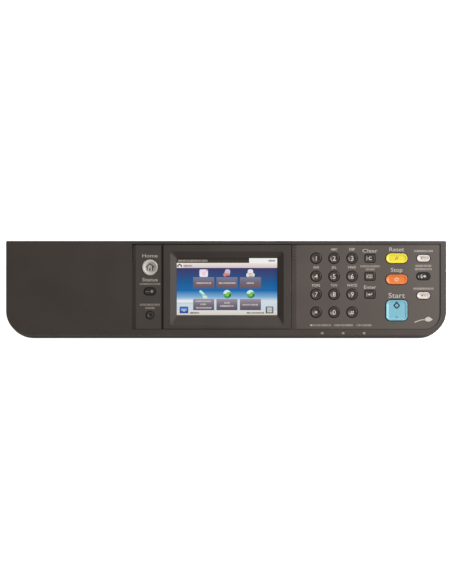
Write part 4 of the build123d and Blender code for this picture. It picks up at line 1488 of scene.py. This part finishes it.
@dataclass
class Domes:
    """The rubber domes under the keys, one piece with its own mesh for each, and their two mats."""

    finishes: Finishes
    nodes: dict[str, bpy.types.Object]
    web: float = 0.6 * MM
    foot_radius: float = 3.4 * MM
    top_radius: float = 2.2 * MM
    wall: float = 0.5 * MM
    travel: float = 0.8 * MM
    play: float = 0.03 * MM
    clear: float = 3.2 * MM
    sliver: float = 0.5 * MM

    def dome(self, x: float, y: float, low: float, high: float) -> bpy.types.Mesh:
        """Turns the dome's section about its axis.

        Args:
            x: The axis along X.
            y: The axis along Y.
            low: Height of its foot.
            high: Height of its top.

        Returns:
            A closed mesh.
        """
        rise = high - low
        profile = [
            (0.0, high),
            (self.top_radius - 0.3 * MM, high),
            (self.top_radius, high - 0.25 * MM),
            (self.foot_radius - 0.5 * MM, low + 0.35 * rise),
            (self.foot_radius, low),
            (self.foot_radius - self.wall, low),
            (self.top_radius - 0.3 * MM, high - 0.9 * MM),
            (0.0, high - 0.8 * MM),
        ]
        source = bmesh.new()
        rings = []
        count = 28
        for radius, z in profile:
            if radius == 0:
                rings.append([source.verts.new((x, y, z))])
            else:
                rings.append([source.verts.new((px, py, z)) for px, py in ring(x, y, radius, count)])
        for a, b in zip(rings, rings[1:]):
            for i in range(count):
                j = (i + 1) % count
                corners = [a[i % len(a)], b[i % len(b)], b[j % len(b)], a[j % len(a)]]
                source.faces.new(list(dict.fromkeys(corners)))
        return mesh_from(source, self.finishes.get(RUBBER))

    def build(self) -> None:
        """Replaces both mats with a thin sheet and a dome for each key."""
        for mat, board in (("home_dome_mat", "home_key_board"), ("keypad_dome_mat", "keypad_board")):
            low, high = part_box(mat)
            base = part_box(board)[1].z
            foot = base + self.web
            sheet = bmesh.new()
            for x0, x1, y0, y1 in self.strips(low, high):
                slab(sheet, [(x0, y0), (x1, y0), (x1, y1), (x0, y1)], base, foot)
            mesh = mesh_from(sheet, self.finishes.get(RUBBER))
            piece = add_piece(mat.replace("_mat", "_sheet"), mesh, HOUSING)
            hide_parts(mat)
            for key in sorted(self.nodes):
                if not key.startswith("key_") or key == "key_board_screws":
                    continue
                x, y = middle_of(key)
                if not low.x < x < high.x:
                    continue
                mesh = self.dome(x, y, foot, high.z)
                dome = add_piece(key.replace("key_", "dome_"), mesh, HOUSING)
                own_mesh(dome)

    def strips(self, low: Vector, high: Vector) -> list[tuple[float, float, float, float]]:
        """The sheet as bands that leave the screw bosses free."""
        reach = 3 * MM
        holes = [
            (x, y)
            for x, y in self.bosses()
            if low.x - reach < x < high.x + reach and low.y - reach < y < high.y + reach
        ]
        sides = (x + s * self.clear for x, _ in holes for s in (-1, 1))
        cuts = sorted({low.x, high.x, *(min(max(x, low.x), high.x) for x in sides)})
        bands = []
        for x0, x1 in zip(cuts, cuts[1:]):
            middle, start = (x0 + x1) / 2, low.y
            for y in sorted(y for x, y in holes if abs(middle - x) < self.clear):
                if y - self.clear > start + self.sliver:
                    bands.append((x0, x1, start, y - self.clear))
                start = max(start, y + self.clear)
            if start < high.y - self.sliver:
                bands.append((x0, x1, start, high.y))
        return bands

    def bosses(self) -> list[Point]:
        """The places of the key board screws and of the lamp under the start key."""
        found: dict[tuple[int, int], Point] = {}
        for node in ("key_board_screws", "start_key_lens"):
            for v in self.nodes[node].data.vertices:
                found.setdefault((round(v.co.x / 0.012), round(v.co.y / 0.012)), (v.co.x, v.co.y))
        merged_points: list[list[Point]] = []
        for point in found.values():
            for group in merged_points:
                if math.dist(group[0], point) < 5 * MM:
                    group.append(point)
                    break
            else:
                merged_points.append([point])
        return [
            (sum(p[0] for p in g) / len(g), sum(p[1] for p in g) / len(g)) for g in merged_points
        ]


@dataclass
class Studio:
    """The pale floor, the lights and the camera."""

    view_height: float = 551.9 * MM
    centre: Point = (-0.2 * MM, -2.24 * MM)
    lens: float = 250.0
    sensor: float = 36.0
    floor_size: float = 6.0
    floor_gap: float = 0.2 * MM
    floor_depth: float = 20 * MM
    focus_drop: float = 1.3 * MM
    daylight: Colour = (1.0, 0.98, 0.95)
    daylight_strength: float = 0.19

    def build(self, low: Vector, high: Vector) -> None:
        """Makes the floor, the lights and the camera.

        Args:
            low: The object's lowest corner.
            high: The object's highest corner.
        """
        floor = bmesh.new()
        outline = rounded(0, 0, self.floor_size, self.floor_size)
        slab(floor, outline, -self.floor_depth, low.z - self.floor_gap)
        graph = Graph("floor_white")
        graph.set(
            Base_Color=(0.9, 0.9, 0.9),
            Roughness=0.9,
            Emission_Color=(1.0, 1.0, 1.0),
            Emission_Strength=1.0,
        )
        mesh = mesh_from(floor, graph.material)
        plane = bpy.data.objects.new("floor", mesh)
        bpy.context.scene.collection.objects.link(plane)
        plane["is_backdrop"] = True
        world = bpy.data.worlds.new("studio")
        bpy.context.scene.world = world
        world.use_nodes = True
        sky = world.node_tree.nodes["Background"]
        sky.inputs["Color"].default_value = (*self.daylight, 1)
        sky.inputs["Strength"].default_value = self.daylight_strength
        bpy.context.scene.view_settings.view_transform = "Standard"
        self.lamp("key_light", (1.46, 0.9, 1.03), 0.5, 34.5, (0.0, 0.0, 0.0))
        self.lamp("edge_light", (0.35, 0.03, 0.25), 0.12, 0.48, (0.15, 0.0, 0.0))
        camera = bpy.data.cameras.new("camera")
        camera.lens, camera.sensor_width = self.lens, self.sensor
        camera.clip_start, camera.clip_end = 0.1, 20
        eye = bpy.data.objects.new("camera", camera)
        bpy.context.scene.collection.objects.link(eye)
        reach = self.view_height / 2 / (self.sensor / 2 / self.lens)
        eye.location = (*self.centre, high.z - self.focus_drop + reach)
        bpy.context.scene.camera = eye

    def lamp(
        self, name: str, place: Sequence[float], size: float, power: float, aim: Sequence[float]
    ) -> None:
        """Adds one square area light.

        Args:
            name: Its name.
            place: Where it hangs.
            size: The length of its sides.
            power: Its power in watts.
            aim: The point that it shines at.
        """
        data = bpy.data.lights.new(name, "AREA")
        data.energy, data.size = power, size
        lamp = bpy.data.objects.new(name, data)
        bpy.context.scene.collection.objects.link(lamp)
        lamp.location = place
        lamp.visible_camera = False
        lamp.rotation_euler = (Vector(aim) - Vector(place)).to_track_quat("-Z", "Y").to_euler()


def main() -> None:
    """Builds every sub-assembly in order."""
    logging.basicConfig(level=logging.INFO, format="%(name)s: %(message)s")
    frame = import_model()
    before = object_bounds()
    nodes = frame["nodes"]
    finishes = Finishes()
    rows = RowTree("bar_rows")
    Housing(finishes, nodes).dress()
    Keys(finishes, nodes).build()
    Legends(finishes, rows).build()
    ScreenPicture(finishes, rows).build()
    Domes(finishes, nodes).build()
    Studio().build(*before)


if __name__ == "__main__":
    main()
